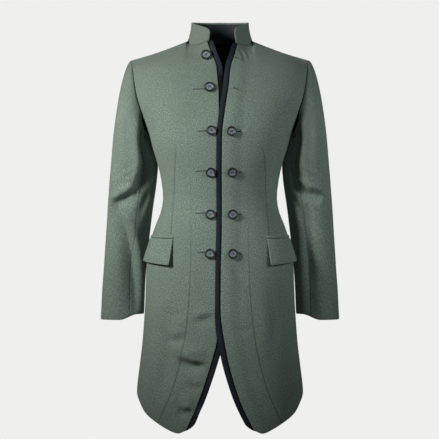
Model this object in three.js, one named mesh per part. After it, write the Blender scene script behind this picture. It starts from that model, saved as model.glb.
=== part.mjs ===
// A stand-collared frock coat in military style, filled out as it is when worn, with nobody in it.
//
// Millimetres, +Z up. The origin is where the neck rests in the collar: on the middle plane, level
// with the point where the shoulder seams meet the collar. The coat faces -Y. "Left" and "right" are
// the wearer's, so the left half has positive X.
//
// Every cloth piece is a wall: a grid of points on its outer face, and the same grid moved inwards.
// The body's grids come from rings worked out at each height, the sleeves' from rings along the arm.

import * as THREE from "three";

// ---- Driving sizes ----

const CLOTH = 2; // thickness of the wool with its canvas
const BAND_CLOTH = 1.2; // thickness of the doubled navy band
const SEAM_GAP = 0.4; // clear space between two pieces at a seam
const LAYER_GAP = 0.4; // clear space between two layers that lie on each other
const POCKET_GAP = 0.9; // the same under the pocket's pieces, which bridge the body's curve
const OVERLAP_LIFT = 4; // how far the left front stands proud of the right one where they meet

const SHOULDER = { x: 221, y: 2, z: -47, sag: 3 }; // end of the shoulder seam, and its dip on the way
const ARMHOLE = { middle: -141, half: 94, front: 57, back: 60 };
const UNDERARM = ARMHOLE.middle - ARMHOLE.half;
const NECK = { side: 82, front: 91, back: 62 };
const COLLAR_TOP = { side: 72.5, front: 85, back: 59 };
const COLLAR_CLOTH = 2.6;
const COLLAR_OVERHANG = 4; // how far each end of the collar reaches past the front's edge

const BAND_SHOWS = 14; // width of the navy band beyond the front's edge
const BAND_UNDER = 10; // width of the band hidden under the front

const BUTTON = { radius: 12, height: 4.4, clear: 0.75 };
const VENT_TOP = -560; // the centre back seam is open below this height

// Places across each half of the body run from 0 at the middle to 1 at the armhole and side seam.
const PANEL = 0.45; // place of the seam between front and side front
const NECK_END = { front: 0.52, back: 0.55 }; // place where the shoulder seam meets the neck

// Places down the body run from 0 at the neck and shoulder seam to these, row by row.
const YOKE_END = 4; // foot of the rounded top of the shoulder
const ARMHOLE_END = 12; // level with the underarm
const HEM_END = 27;

const COLUMNS = { centre: 5, neckSide: 2, shoulder: 8, backNeck: 5 };
const SLEEVE_COLUMNS = { top: 17, under: 7 };
const SLEEVE_CAP_END = 4; // rows of the sleeve from the armhole down to its first full ring
const CUFF_END = 16;

// ---- Tables: one row for each section, with heights from top to bottom ----

// The body's rings: half width at the side, depth to the front and back, and how square the ring is.
const TORSO = [
  { z: -60, side: 221, front: 105, back: 86, square: 2.0 },
  { z: -100, side: 219, front: 114, back: 96, square: 2.3 },
  { z: -160, side: 210, front: 122, back: 103, square: 2.45 },
  { z: -235, side: 178, front: 124, back: 102, square: 2.45 },
  { z: -270, side: 168, front: 121, back: 97, square: 2.4 },
  { z: -306, side: 157, front: 117, back: 89, square: 2.3 },
  { z: -345, side: 148, front: 111, back: 80, square: 2.25 },
  { z: -390, side: 143, front: 107, back: 75, square: 2.2 },
  { z: -425, side: 148, front: 108, back: 80, square: 2.2 },
  { z: -462, side: 162, front: 112, back: 91, square: 2.2 },
  { z: -500, side: 175, front: 117, back: 101, square: 2.2 },
  { z: -545, side: 183, front: 122, back: 109, square: 2.25 },
  { z: -640, side: 187, front: 129, back: 116, square: 2.3 },
  { z: -714, side: 191, front: 134, back: 121, square: 2.3 },
  { z: -760, side: 195, front: 138, back: 124, square: 2.3 },
  { z: -809, side: 201, front: 142, back: 128, square: 2.3 },
  { z: -860, side: 207, front: 146, back: 132, square: 2.3 },
  { z: -960, side: 212, front: 152, back: 140, square: 2.3 },
];

// Where the armhole's edge lies sideways.
const ARMHOLE_EDGE = [
  { z: -47, x: 221 },
  { z: -97, x: 213.5 },
  { z: -145, x: 205 },
  { z: -172, x: 196.5 },
  { z: -209, x: 184.5 },
  { z: -235, x: 178 },
];

// The cut edges of the two fronts, as distances to the wearer's left of the middle.
const FRONT_EDGE = [
  { z: -10, left: 45, right: -32 },
  { z: -40, left: 38, right: -22.5 },
  { z: -70, left: 28, right: -10 },
  { z: -94, left: 23.5, right: -7 },
  { z: -131, left: 19.5, right: -4 },
  { z: -174, left: 13, right: -2.5 },
  { z: -230, left: 6, right: -2.5 },
  { z: -300, left: 4.5, right: -2.5 },
  { z: -460, left: 4.5, right: -2.5 },
  { z: -580, left: 2, right: -3 },
  { z: -675, left: 2, right: -3.5 },
  { z: -711, left: 6, right: -4.5 },
  { z: -750, left: 12.5, right: -10 },
  { z: -797, left: 22, right: -23 },
  { z: -841, left: 34, right: -37 },
  { z: -880, left: 47, right: -51 },
  { z: -913, left: 61, right: -64.5 },
  { z: -957, left: 83, right: -84 },
];

// The long seam between front and side front, and the edge of the back's vent.
const PANEL_SEAM = [
  { z: -15, x: 73 },
  { z: -124, x: 79 },
  { z: -228, x: 79 },
  { z: -374, x: 72 },
  { z: -520, x: 70.5 },
  { z: -642, x: 75 },
  { z: -750, x: 88 },
  { z: -846, x: 112 },
  { z: -940, x: 151 },
];
const VENT_EDGE = [
  { z: -560, x: 0 },
  { z: -640, x: 1 },
  { z: -711, x: 5 },
  { z: -750, x: 12 },
  { z: -797, x: 24 },
  { z: -841, x: 38 },
  { z: -880, x: 52 },
  { z: -957, x: 84 },
];

// Hem heights, by place across each half.
const HEM = {
  front: [
    { across: 0, z: -953 },
    { across: 0.11, z: -960 },
    { across: 0.27, z: -954 },
    { across: 0.45, z: -940 },
    { across: 0.66, z: -918 },
    { across: 0.82, z: -891 },
    { across: 0.93, z: -877 },
    { across: 1, z: -873 },
  ],
  back: [
    { across: 0, z: -953 },
    { across: 0.15, z: -958 },
    { across: 0.5, z: -938 },
    { across: 0.76, z: -904 },
    { across: 0.92, z: -878 },
    { across: 1, z: -873 },
  ],
};

// Heights of the neck seam and of the collar's top, by angle from the front.
const NECKLINE = [
  { angle: 20, seam: -8, top: 20 },
  { angle: 40, seam: -16, top: 29 },
  { angle: 65, seam: -12, top: 38 },
  { angle: 90, seam: 0, top: 46 },
  { angle: 130, seam: 2, top: 51 },
  { angle: 180, seam: 3, top: 54 },
];

// The sleeve below its cap: outer and inner edge, middle of its depth, and half its depth.
const SLEEVE = [
  { z: -262, outer: 270, inner: 178, middle: 10, depth: 57 },
  { z: -306, outer: 274, inner: 162, middle: 14, depth: 56 },
  { z: -345, outer: 278, inner: 160, middle: 19, depth: 54 },
  { z: -407, outer: 283, inner: 167, middle: 27, depth: 51 },
  { z: -462, outer: 287, inner: 174, middle: 32, depth: 48 },
  { z: -515, outer: 290.5, inner: 180, middle: 34, depth: 45 },
  { z: -575, outer: 294, inner: 186, middle: 34, depth: 42 },
  { z: -635, outer: 298, inner: 189, middle: 32, depth: 39 },
  { z: -697, outer: 301, inner: 191, middle: 29, depth: 36 },
];
const CUFF_LIFT = 14; // how much shorter the sleeve is on the side next to the body
const SLEEVE_SEAMS = { front: [135, 111], back: [240, 255] }; // angle at the armhole and below it

const POCKET = {
  front: 51, // angle from the front where the pocket starts
  rear: 86,
  top: -484,
  fall: 2, // the front corner is this much lower
  welt: 6.5,
  weltCloth: 1.4,
  flap: { front: 64, rear: 56, slope: 0.32 },
};

// Button heights, and how far each sits from the middle of the coat.
const BUTTONS = {
  right: [
    { z: -46, x: 34 },
    { z: -126, x: 25.5 },
    { z: -231, x: 20.4 },
    { z: -332, x: 22.2 },
    { z: -434, x: 23.4 },
    { z: -529, x: 24.6 },
  ],
  left: [
    { z: -233, x: 26.5 },
    { z: -332, x: 28.5 },
    { z: -434, x: 29.3 },
    { z: -529, x: 30 },
  ],
};

// ---- Small tools ----

const point = (x, y, z) => new THREE.Vector3(x, y, z);
const mix = THREE.MathUtils.lerp;
const radians = THREE.MathUtils.degToRad;
const steps = (count) => Array.from({ length: count + 1 }, (_, i) => i / count);
const soft = (x, from, to) => THREE.MathUtils.smoothstep(x, from, to);

// The value of a table's column where its key column has a given value, on a smooth curve.
function read(table, key, value, column) {
  const way = Math.sign(table[1][key] - table[0][key]);
  const last = table.length - 1;
  if ((value - table[0][key]) * way <= 0) return table[0][column];
  if ((value - table[last][key]) * way >= 0) return table[last][column];
  let i = 0;
  while ((value - table[i + 1][key]) * way > 0) i++;
  const slope = (k) => {
    const a = table[Math.max(k - 1, 0)];
    const b = table[Math.min(k + 1, last)];
    return (b[column] - a[column]) / (b[key] - a[key]);
  };
  const [a, b] = [table[i], table[i + 1]];
  const width = b[key] - a[key];
  const t = (value - a[key]) / width;
  const fromA = a[column] * (1 + 2 * t) * (1 - t) ** 2 + slope(i) * width * t * (1 - t) ** 2;
  const fromB = b[column] * t * t * (3 - 2 * t) - slope(i + 1) * width * t * t * (1 - t);
  return fromA + fromB;
}

// A point on the curve that leaves `from` along `leave` and reaches `to` along `arrive`.
function bend(from, leave, to, arrive, t, pulls = [0.36, 0.36]) {
  const length = from.distanceTo(to);
  const near = from.clone().addScaledVector(leave, length * pulls[0]);
  const far = to.clone().addScaledVector(arrive, -length * pulls[1]);
  return new THREE.CubicBezierCurve3(from, near, far, to).getPoint(t);
}

// A sheet of cloth: a grid of points on the outer face, row by row, and the outward normal of each.
// `ring` says that the last column comes round to the first again.
function sheetOf(grid, inside, ring = false) {
  const last = grid[0].length - 1;
  const normals = grid.map((row, i) =>
    row.map((at, j) => {
      const above = grid[Math.max(i - 1, 0)][j];
      const below = grid[Math.min(i + 1, grid.length - 1)][j];
      const before = row[ring && j === 0 ? last - 1 : Math.max(j - 1, 0)];
      const after = row[ring && j === last ? 1 : Math.min(j + 1, last)];
      const normal = below.clone().sub(above).cross(after.clone().sub(before)).normalize();
      return normal.dot(at.clone().sub(inside(at))) < 0 ? normal.negate() : normal;
    }),
  );
  return { grid, normals };
}

// Some of a sheet's columns, as a sheet of its own.
const columnsOf = ({ grid, normals }, from, to) => ({
  grid: grid.map((row) => row.slice(from, to + 1)),
  normals: normals.map((row) => row.slice(from, to + 1)),
});

// The sheet with its edges drawn in, so that each seam keeps its gap.
function trimmed({ grid, normals }, { top = 0, bottom = 0, first = 0, last = 0 }) {
  const moved = grid.map((row) => row.map((at) => at.clone()));
  const rows = grid.length - 1;
  const columns = grid[0].length - 1;
  const draw = (i, j, towards, before, after, by) => {
    const way = towards.clone().sub(grid[i][j]).normalize();
    const edge = after.clone().sub(before).normalize();
    const square = Math.max(way.clone().cross(edge).length(), 0.4);
    if (by) moved[i][j].addScaledVector(way, by / square);
  };
  for (let j = 0; j <= columns; j++) {
    const [before, after] = [Math.max(j - 1, 0), Math.min(j + 1, columns)];
    draw(0, j, grid[1][j], grid[0][before], grid[0][after], top);
    draw(rows, j, grid[rows - 1][j], grid[rows][before], grid[rows][after], bottom);
  }
  for (let i = 0; i <= rows; i++) {
    const [before, after] = [grid[Math.max(i - 1, 0)], grid[Math.min(i + 1, rows)]];
    draw(i, 0, grid[i][1], before[0], after[0], first);
    draw(i, columns, grid[i][columns - 1], before[columns], after[columns], last);
  }
  return { grid: moved, normals };
}

// The closed wall between a sheet and the same sheet moved inwards along its normals.
function wall({ grid, normals }, thickness) {
  const columns = grid[0].length;
  const rows = grid.length;
  const inner = rows * columns;
  const outside = grid.flat();
  const inside = outside.map((at, k) => at.clone().addScaledVector(normals.flat()[k], -thickness));
  const index = [];
  const quad = (a, b, c, d) => index.push(a, b, c, a, c, d);
  const id = (i, j) => i * columns + j;
  const apart = (a, b) => outside[a].distanceTo(outside[b]);
  for (let i = 0; i + 1 < rows; i++)
    for (let j = 0; j + 1 < columns; j++) {
      const around = [id(i, j), id(i + 1, j), id(i + 1, j + 1), id(i, j + 1)];
      if (apart(around[1], around[3]) < apart(around[0], around[2])) around.push(around.shift());
      const [a, b, c, d] = around;
      quad(a, b, c, d);
      quad(inner + a, inner + d, inner + c, inner + b);
    }
  const rim = [];
  for (let i = 0; i + 1 < rows; i++) rim.push([id(i, 0), id(i + 1, 0)]);
  for (let j = 0; j + 1 < columns; j++) rim.push([id(rows - 1, j), id(rows - 1, j + 1)]);
  for (let i = rows - 1; i > 0; i--) rim.push([id(i, columns - 1), id(i - 1, columns - 1)]);
  for (let j = columns - 1; j > 0; j--) rim.push([id(0, j), id(0, j - 1)]);
  for (const [a, b] of rim) quad(b, a, inner + a, inner + b);

  const middle = (rows >> 1) * columns;
  const corner = [1, columns].map((k) => outside[middle + k].clone().sub(outside[middle]));
  if (corner[0].cross(corner[1]).dot(normals[rows >> 1][0]) > 0) index.reverse();
  const geometry = new THREE.BufferGeometry().setFromPoints([...outside, ...inside]);
  geometry.setIndex(index);
  geometry.computeVertexNormals();
  return geometry;
}

// ---- The body's surface, for positive X ----

// A point of the ring at a height, at an angle from the front.
function ringPoint(ring, angle) {
  const depth = Math.cos(angle) > 0 ? ring.front : ring.back;
  const across = Math.abs(Math.sin(angle)) / ring.side;
  const along = Math.abs(Math.cos(angle)) / depth;
  const radius = (across ** ring.square + along ** ring.square) ** (-1 / ring.square);
  return point(radius * Math.sin(angle), -radius * Math.cos(angle), ring.z);
}

// The ring at a height. Beside the armhole its width is the one that meets the armhole's edge.
function ringAt(z, half) {
  const ring = { z };
  for (const key of ["side", "front", "back", "square"]) ring[key] = read(TORSO, "z", z, key);
  if (z > UNDERARM) {
    const edge = armholePoint(z, half);
    const reach = Math.abs(edge.y) / ring[half];
    ring.side = edge.x / (1 - reach ** ring.square) ** (1 / ring.square);
  }
  return ring;
}

// A point of the armhole's edge at a height, on its front or back half.
function armholePoint(z, half) {
  const rise = THREE.MathUtils.clamp((z - ARMHOLE.middle) / ARMHOLE.half, -1, 1);
  const wide = Math.sqrt(1 - rise * rise);
  const y = half === "front" ? SHOULDER.y - ARMHOLE.front * wide : SHOULDER.y + ARMHOLE.back * wide;
  return point(read(ARMHOLE_EDGE, "z", z, "x"), y * soft(z, UNDERARM - 1, UNDERARM + 1), z);
}

// Heights beside the armhole, by place down the body.
const armholeHeight = (down) => ARMHOLE.middle + ARMHOLE.half * Math.cos((Math.PI * down) / ARMHOLE_END);

// The angle at which a ring reaches a distance from the middle, on its front or back half.
function angleOf(ring, x, half) {
  const depth = ring[half] * (1 - Math.min(Math.abs(x) / ring.side, 1) ** ring.square) ** (1 / ring.square);
  return Math.atan2(x, half === "front" ? depth : -depth);
}

// The neck seam, at an angle from the front in degrees.
function neckPoint(degrees) {
  const turn = radians(degrees);
  const depth = Math.cos(turn) > 0 ? NECK.front : NECK.back;
  return point(NECK.side * Math.sin(turn), -depth * Math.cos(turn), read(NECKLINE, "angle", degrees, "seam"));
}

const neckAngle = (x) => THREE.MathUtils.radToDeg(Math.asin(x / NECK.side));

// The shoulder seam, by share of its length from the neck.
function shoulderPoint(share) {
  const start = neckPoint(90);
  const dip = SHOULDER.sag * Math.sin(Math.PI * share);
  return start.lerp(point(SHOULDER.x, SHOULDER.y, SHOULDER.z), share).add(point(0, 0, -dip));
}

// The cut edge of a front: its distance to that front's own side of the middle.
const frontEdge = (side, z) => side * read(FRONT_EDGE, "z", z, side > 0 ? "left" : "right");

// The angle of a place across one half, at a height.
function angleAcross(side, half, across, ring) {
  const { z } = ring;
  const edge = z > UNDERARM ? armholePoint(z, half) : point(1, 0, 0);
  const sideSeam = Math.PI / 2;
  const atYoke = armholePoint(armholeHeight(YOKE_END), half);
  const settled = mix(sideSeam, Math.atan2(atYoke.x, -atYoke.y), soft(z, -350, atYoke.z));
  const sideAngle = mix(settled, Math.atan2(edge.x, -edge.y), across ** 6);
  if (half === "back") {
    const middle = z > VENT_TOP ? 0 : read(VENT_EDGE, "z", z, "x");
    return mix(angleOf(ring, middle, "back"), sideAngle, across);
  }
  const seam = angleOf(ring, read(PANEL_SEAM, "z", z, "x"), "front");
  if (across > PANEL) return mix(seam, sideAngle, (across - PANEL) / (1 - PANEL));
  return mix(angleOf(ring, frontEdge(side, z), "front"), seam, across / PANEL);
}

// How far the left front is lifted over the right one, by distance from its own edge.
function liftAt(side, half, z, fromEdge) {
  if (side < 0 || half === "back") return 0;
  return OVERLAP_LIFT * soft(-z, 25, 85) * (1 - soft(fromEdge, 16, 50));
}

// A point of the body at a height, at an angle from the front.
function girthPoint(side, half, ring, angle) {
  const at = ringPoint(ring, angle);
  const lift = liftAt(side, half, ring.z, at.x - frontEdge(side, ring.z));
  const grow = 1 + lift / Math.hypot(at.x, at.y);
  return point(at.x * grow, at.y * grow, ring.z);
}

function placePoint(side, half, across, z) {
  const ring = ringAt(z, half);
  return girthPoint(side, half, ring, angleAcross(side, half, across, ring));
}

// Where a column starts, on the neck or shoulder seam, and the direction in which the cloth leaves.
function topOf(side, half, across) {
  const towards = half === "front" ? -1 : 1;
  const end = NECK_END[half];
  const fromShoulder = point(0, towards, -0.06).normalize();
  if (across > end) return { at: shoulderPoint((across - end) / (1 - end)), leave: fromShoulder };
  if (half === "back") {
    const share = across / end;
    const leave = point(0, 0.45, -0.89).lerp(fromShoulder, share ** 1.5).normalize();
    return { at: neckPoint(mix(180, 90, share)), leave };
  }
  const first = neckAngle(frontEdge(side, NECKLINE[0].seam));
  const seam = neckAngle(PANEL_SEAM[0].x);
  const onCentre = across < PANEL;
  const share = onCentre ? across / PANEL : (across - PANEL) / (end - PANEL);
  const degrees = onCentre ? mix(first, seam, share) : mix(seam, 90, share);
  const leave = point(-0.1, -0.72, -0.69).lerp(fromShoulder, (degrees / 90) ** 2).normalize();
  return { at: neckPoint(degrees), leave };
}

// A point of the rounded top of the shoulder, by the height that the armhole's edge has there.
function yokePoint(side, half, across, height) {
  const low = armholeHeight(YOKE_END);
  const t = (height - SHOULDER.z) / (low - SHOULDER.z);
  const curve = (place) => {
    const { at, leave } = topOf(side, half, place);
    const foot = placePoint(side, half, place, low);
    const arrive = placePoint(side, half, place, low - 12).sub(foot).normalize();
    return bend(at, leave, foot, arrive, t);
  };
  const at = curve(across);
  const slip = armholePoint(height, half).sub(curve(1));
  at.addScaledVector(slip, Math.max((across - NECK_END[half]) / (1 - NECK_END[half]), 0) ** 4);
  if (half === "back") return at;
  const edge = curve(0);
  const seam = curve(PANEL);
  const edgeSlip = frontEdge(side, edge.z) - edge.x;
  const seamSlip = read(PANEL_SEAM, "z", seam.z, "x") - seam.x;
  const share = across < PANEL ? across / PANEL : 1;
  const fade = across < PANEL ? 1 : ((1 - across) / (1 - PANEL)) ** 2;
  at.x += mix(edgeSlip, seamSlip, share) * fade * soft(t, 0, 0.35);
  return at;
}

// A point of the body, by its places across and down one half. Beside the armhole the rows follow its
// own spacing at the edge, and are evenly spaced towards the middle.
function bodyPoint(side, half, across, down) {
  if (down < YOKE_END) return yokePoint(side, half, across, armholeHeight(down));
  if (down < ARMHOLE_END) {
    const share = (down - YOKE_END) / (ARMHOLE_END - YOKE_END);
    const even = mix(armholeHeight(YOKE_END), UNDERARM, share);
    return placePoint(side, half, across, mix(even, armholeHeight(down), across ** 6));
  }
  const hem = read(HEM[half], "across", across, "z");
  const share = (down - ARMHOLE_END) / (HEM_END - ARMHOLE_END);
  return placePoint(side, half, across, mix(UNDERARM, hem, share));
}

// One half of the front or back as a sheet whose normals agree with its neighbours' at each seam.
function bodySheet(side, half, columns) {
  const rows = steps(HEM_END).map((t) => t * HEM_END);
  const grid = rows.map((down) => columns.map((across) => bodyPoint(side, half, across, down)));
  const sheet = sheetOf(grid, (at) => point(0, 0, Math.min(at.z, -60)));
  rows.forEach((down, i) => {
    columns.forEach((across, j) => {
      const onShoulderSeam = down === 0 && across >= NECK_END[half];
      const onSideSeam = down >= ARMHOLE_END && across === 1;
      const onBackSeam = half === "back" && Math.abs(grid[i][j].x) < 0.01;
      if (onShoulderSeam || onSideSeam) sheet.normals[i][j].setY(0).normalize();
      if (onBackSeam) sheet.normals[i][j].setX(0).normalize();
    });
  });
  return sheet;
}

const shoulderColumns = (end) => steps(COLUMNS.shoulder).slice(1).map((t) => mix(end, 1, t));

const frontColumns = [
  ...steps(COLUMNS.centre).map((t) => t * PANEL),
  ...steps(COLUMNS.neckSide).slice(1).map((t) => mix(PANEL, NECK_END.front, t)),
  ...shoulderColumns(NECK_END.front),
];

const backColumns = [
  ...steps(COLUMNS.backNeck).map((t) => t * NECK_END.back),
  ...shoulderColumns(NECK_END.back),
];

// ---- Bands, collar and sleeves ----

// The navy band: a strip under the front's edge that shows beyond it.
function bandSheet(front) {
  const places = [-BAND_UNDER, 0, BAND_SHOWS / 2, BAND_SHOWS];
  const grid = front.grid.map((row, i) => {
    const away = row[0].clone().sub(row[1]).normalize();
    const under = front.normals[i][0];
    return places.map((place) => {
      const drop = CLOTH + LAYER_GAP + 0.05 * Math.max(-place, 0);
      return row[0].clone().addScaledVector(away, place).addScaledVector(under, -drop);
    });
  });
  return { grid, normals: front.normals.map((row) => places.map(() => row[0])) };
}

// The stand collar, from the right front's edge round the back to the left one's.
function collarSheet() {
  const anglesOf = (side) => {
    const first = neckAngle(frontEdge(side, NECKLINE[0].seam));
    const seam = neckAngle(PANEL_SEAM[0].x);
    return [
      neckAngle(frontEdge(side, NECKLINE[0].seam) - COLLAR_OVERHANG),
      ...steps(COLUMNS.centre).map((t) => mix(first, seam, t)),
      ...steps(COLUMNS.neckSide).slice(1).map((t) => mix(seam, 90, t)),
      ...steps(COLUMNS.backNeck).slice(1).map((t) => mix(90, 180, t)),
    ];
  };
  const right = anglesOf(-1).map((degrees) => ({ side: -1, degrees }));
  const left = anglesOf(1).map((degrees) => ({ side: 1, degrees }));
  const columns = [...right, ...left.reverse().slice(1)];
  const roundedEnd = [0.75, 0.93]; // height left at the columns next to an end
  const grid = steps(4).map((up) =>
    columns.map(({ side, degrees }, j) => {
      const turn = radians(degrees);
      const foot = neckPoint(degrees);
      const depth = Math.cos(turn) > 0 ? COLLAR_TOP.front : COLLAR_TOP.back;
      const top = read(NECKLINE, "angle", degrees, "top");
      const height = up * (roundedEnd[Math.min(j, columns.length - 1 - j)] ?? 1);
      const spread = (1 - height) ** 2;
      const x = mix(COLLAR_TOP.side * Math.sin(turn), foot.x, spread);
      const y = mix(-depth * Math.cos(turn), foot.y, spread);
      return point(x * side, y, mix(foot.z + SEAM_GAP, top, height));
    }),
  );
  return sheetOf(grid.reverse(), (at) => point(0, 0, at.z));
}

// A point of the sleeve below its cap. Angles run from the outer edge over the front.
function sleevePoint(z, degrees) {
  const outer = read(SLEEVE, "z", z, "outer");
  const inner = read(SLEEVE, "z", z, "inner");
  const turn = radians(degrees);
  const y = read(SLEEVE, "z", z, "middle") - read(SLEEVE, "z", z, "depth") * Math.sin(turn);
  return point(mix(inner, outer, (1 + Math.cos(turn)) / 2), y, z);
}

// The angle of a sleeve column, by share of its way down. Columns are numbered from the back seam.
function sleeveAngle(column, share) {
  const { top, under } = SLEEVE_COLUMNS;
  const back = mix(SLEEVE_SEAMS.back[0], SLEEVE_SEAMS.back[1], share);
  const front = mix(SLEEVE_SEAMS.front[0], SLEEVE_SEAMS.front[1], share);
  if (column <= top) return mix(back - 360, front, column / top);
  return mix(front, back, (column - top) / under);
}

// A point of the sleeve, by its column and its place down: the armhole is 0.
function armPoint(column, down) {
  const foot = SLEEVE[0].z;
  const cuff = SLEEVE[SLEEVE.length - 1].z;
  if (down < SLEEVE_CAP_END) {
    const turn = radians(sleeveAngle(column, 0));
    const height = ARMHOLE.middle + ARMHOLE.half * Math.cos(turn);
    const edge = armholePoint(height, Math.sin(turn) > 0 ? "front" : "back");
    const low = (1 - Math.cos(turn)) / 2;
    const leave = point(mix(0.93, 0.4, low), -0.25 * Math.sin(turn), -mix(0.3, 0.9, low)).normalize();
    const at = sleevePoint(foot, sleeveAngle(column, 0.25));
    const arrive = sleevePoint(foot - 20, sleeveAngle(column, 0.25)).sub(at).normalize();
    edge.addScaledVector(leave, SEAM_GAP);
    return bend(edge, leave, at, arrive, (down / SLEEVE_CAP_END) ** 1.5, [mix(0.1, 0.3, low), 0.42]);
  }
  const share = (down - SLEEVE_CAP_END) / (CUFF_END - SLEEVE_CAP_END);
  const degrees = sleeveAngle(column, mix(0.25, 1, soft(share, 0, 0.4)));
  const nextToBody = soft(-Math.cos(radians(degrees)), -0.1, 0.75);
  return sleevePoint(mix(foot, cuff + CUFF_LIFT * nextToBody, share), degrees);
}

// The whole sleeve. It leaves the armhole square with the body's cloth.
function sleeveSheet(front, back) {
  const columns = SLEEVE_COLUMNS.top + SLEEVE_COLUMNS.under;
  const rows = steps(CUFF_END).map((t) => t * CUFF_END);
  const grid = rows.map((down) => steps(columns).map((t) => armPoint(t * columns, down)));
  const sheet = sheetOf(grid, (at) => sleevePoint(at.z, 0).lerp(sleevePoint(at.z, 180), 0.5), true);
  sheet.normals[0].forEach((normal, j) => {
    const degrees = sleeveAngle(j, 0);
    const step = Math.round((Math.abs(degrees > 180 ? degrees - 360 : degrees) * ARMHOLE_END) / 180);
    const half = Math.sin(radians(degrees)) > 0 ? front : back;
    const low = (1 - Math.cos(radians(degrees))) / 2;
    const onBody = half.normals[step][half.normals[0].length - 1];
    normal.lerp(onBody, 1 - soft(low, 0.4, 0.8)).normalize();
  });
  return sheet;
}

// ---- Pockets and buttons ----

// A point of the front with its level outward direction, a distance off the cloth.
function offFront(side, z, angle, off) {
  const ring = ringAt(z, "front");
  const at = girthPoint(side, "front", ring, angle);
  const along = girthPoint(side, "front", ring, angle + 0.02).sub(at).normalize();
  const out = point(-along.y, along.x, 0).negate();
  return { at: at.addScaledVector(out, off), out };
}

// A point below the pocket's top line, at a share of its length from the front.
function pocketPoint(side, share, down, off) {
  const z = POCKET.top - POCKET.fall * (1 - share) - down;
  return offFront(side, z, radians(mix(POCKET.front, POCKET.rear, share)), off);
}

function weltSheet(side) {
  const off = POCKET_GAP + POCKET.weltCloth;
  const rows = steps(2).map((t) => steps(7).map((share) => pocketPoint(side, share, POCKET.welt * t, off)));
  return {
    grid: rows.map((row) => row.map(({ at }) => at)),
    normals: rows.map((row) => row.map(({ out }) => out)),
  };
}

// The flap hangs from under the welt and stands off the body as it falls.
function flapSheet(side) {
  const { front, rear, slope } = POCKET.flap;
  const grid = steps(4).map((t) =>
    steps(7).map((share) => {
      const { at, out } = pocketPoint(side, share, POCKET.welt + SEAM_GAP, POCKET_GAP + CLOTH);
      const fall = t * mix(front, rear, share);
      return at.addScaledVector(out, fall * slope).add(point(0, 0, -fall));
    }),
  );
  return sheetOf(grid, (at) => point(0, 0, at.z));
}

// A round button with a raised rim. It lies on the front with its axis square with the cloth.
function buttonGeometry() {
  const { radius, height } = BUTTON;
  const profile = [
    [0, 0],
    [radius - 1.6, 0],
    [radius, 1.5],
    [radius - 0.3, height - 0.8],
    [radius - 1.6, height],
    [radius - 3, height - 0.5],
    [radius - 4, height - 1.2],
    [0, height - 1.2],
  ];
  return new THREE.LatheGeometry(profile.map(([r, y]) => new THREE.Vector2(r, y)), 14);
}

function placeButton(mesh, side, { z, x }) {
  const angle = angleOf(ringAt(z, "front"), x, "front");
  const { at, out } = offFront(side, z, angle, 0);
  const fall = offFront(side, z - 15, angle, 0).at.sub(offFront(side, z + 15, angle, 0).at);
  const across = out.clone().cross(point(0, 0, 1));
  const normal = fall.cross(across).normalize();
  if (normal.dot(out) < 0) normal.negate();
  at.addScaledVector(normal, BUTTON.clear);
  mesh.position.set(at.x * side, at.y, at.z);
  normal.x *= side;
  mesh.quaternion.setFromUnitVectors(point(0, 1, 0), normal);
}

// ---- Materials ----

const wool = () => new THREE.MeshStandardMaterial({ color: 0x6f7f74, roughness: 0.95, metalness: 0 });
const satin = () => new THREE.MeshStandardMaterial({ color: 0x262b35, roughness: 0.5, metalness: 0 });
const horn = () => new THREE.MeshStandardMaterial({ color: 0x1c1f26, roughness: 0.25, metalness: 0 });

// ---- The coat ----

const coat = new THREE.Group();
const body = new THREE.Group();
const sleeves = new THREE.Group();
const pockets = new THREE.Group();
const buttons = new THREE.Group();
coat.add(body, sleeves, pockets, buttons);

// Adds a piece to its group, mirrored where it belongs to the right half.
function addPiece(group, name, side, sheet, { thickness = CLOTH, trim = {}, material = wool() } = {}) {
  const flip = (rows) => rows.map((row) => row.map((v) => point(v.x * side, v.y, v.z)));
  const drawn = trimmed(sheet, trim);
  const placed = { grid: flip(drawn.grid), normals: flip(drawn.normals) };
  const mesh = new THREE.Mesh(wall(placed, thickness), material);
  mesh.name = name;
  group.add(mesh);
}

const gap = SEAM_GAP / 2; // each of two neighbours gives up half of the seam's gap

for (const [hand, side] of [["left", 1], ["right", -1]]) {
  const front = bodySheet(side, "front", frontColumns);
  const back = bodySheet(side, "back", backColumns);
  const centre = columnsOf(front, 0, COLUMNS.centre);
  const sideFront = columnsOf(front, COLUMNS.centre, frontColumns.length - 1);
  const band = { thickness: BAND_CLOTH, trim: { top: gap }, material: satin() };
  addPiece(body, `front_${hand}`, side, centre, { trim: { last: gap } });
  addPiece(body, `side_front_${hand}`, side, sideFront, { trim: { top: gap, first: gap, last: gap } });
  addPiece(body, `back_${hand}`, side, back, { trim: { top: gap, first: gap, last: gap } });
  addPiece(body, `edge_band_${hand}`, side, bandSheet(front), band);

  const { top, under } = SLEEVE_COLUMNS;
  const sleeve = sleeveSheet(front, back);
  const topSleeve = columnsOf(sleeve, 0, top);
  const underSleeve = columnsOf(sleeve, top, top + under);
  addPiece(sleeves, `top_sleeve_${hand}`, side, topSleeve, { trim: { first: gap, last: gap } });
  addPiece(sleeves, `under_sleeve_${hand}`, side, underSleeve, { trim: { first: gap, last: gap } });

  addPiece(pockets, `pocket_welt_${hand}`, side, weltSheet(side), { thickness: POCKET.weltCloth });
  addPiece(pockets, `pocket_flap_${hand}`, side, flapSheet(side));

  BUTTONS[hand].forEach((place, i) => {
    const button = new THREE.Mesh(buttonGeometry(), horn());
    button.name = `button_${hand}_${i + 1}`;
    placeButton(button, side, place);
    buttons.add(button);
  });
}

addPiece(body, "collar", 1, collarSheet(), { thickness: COLLAR_CLOTH });

export default coat;
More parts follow.
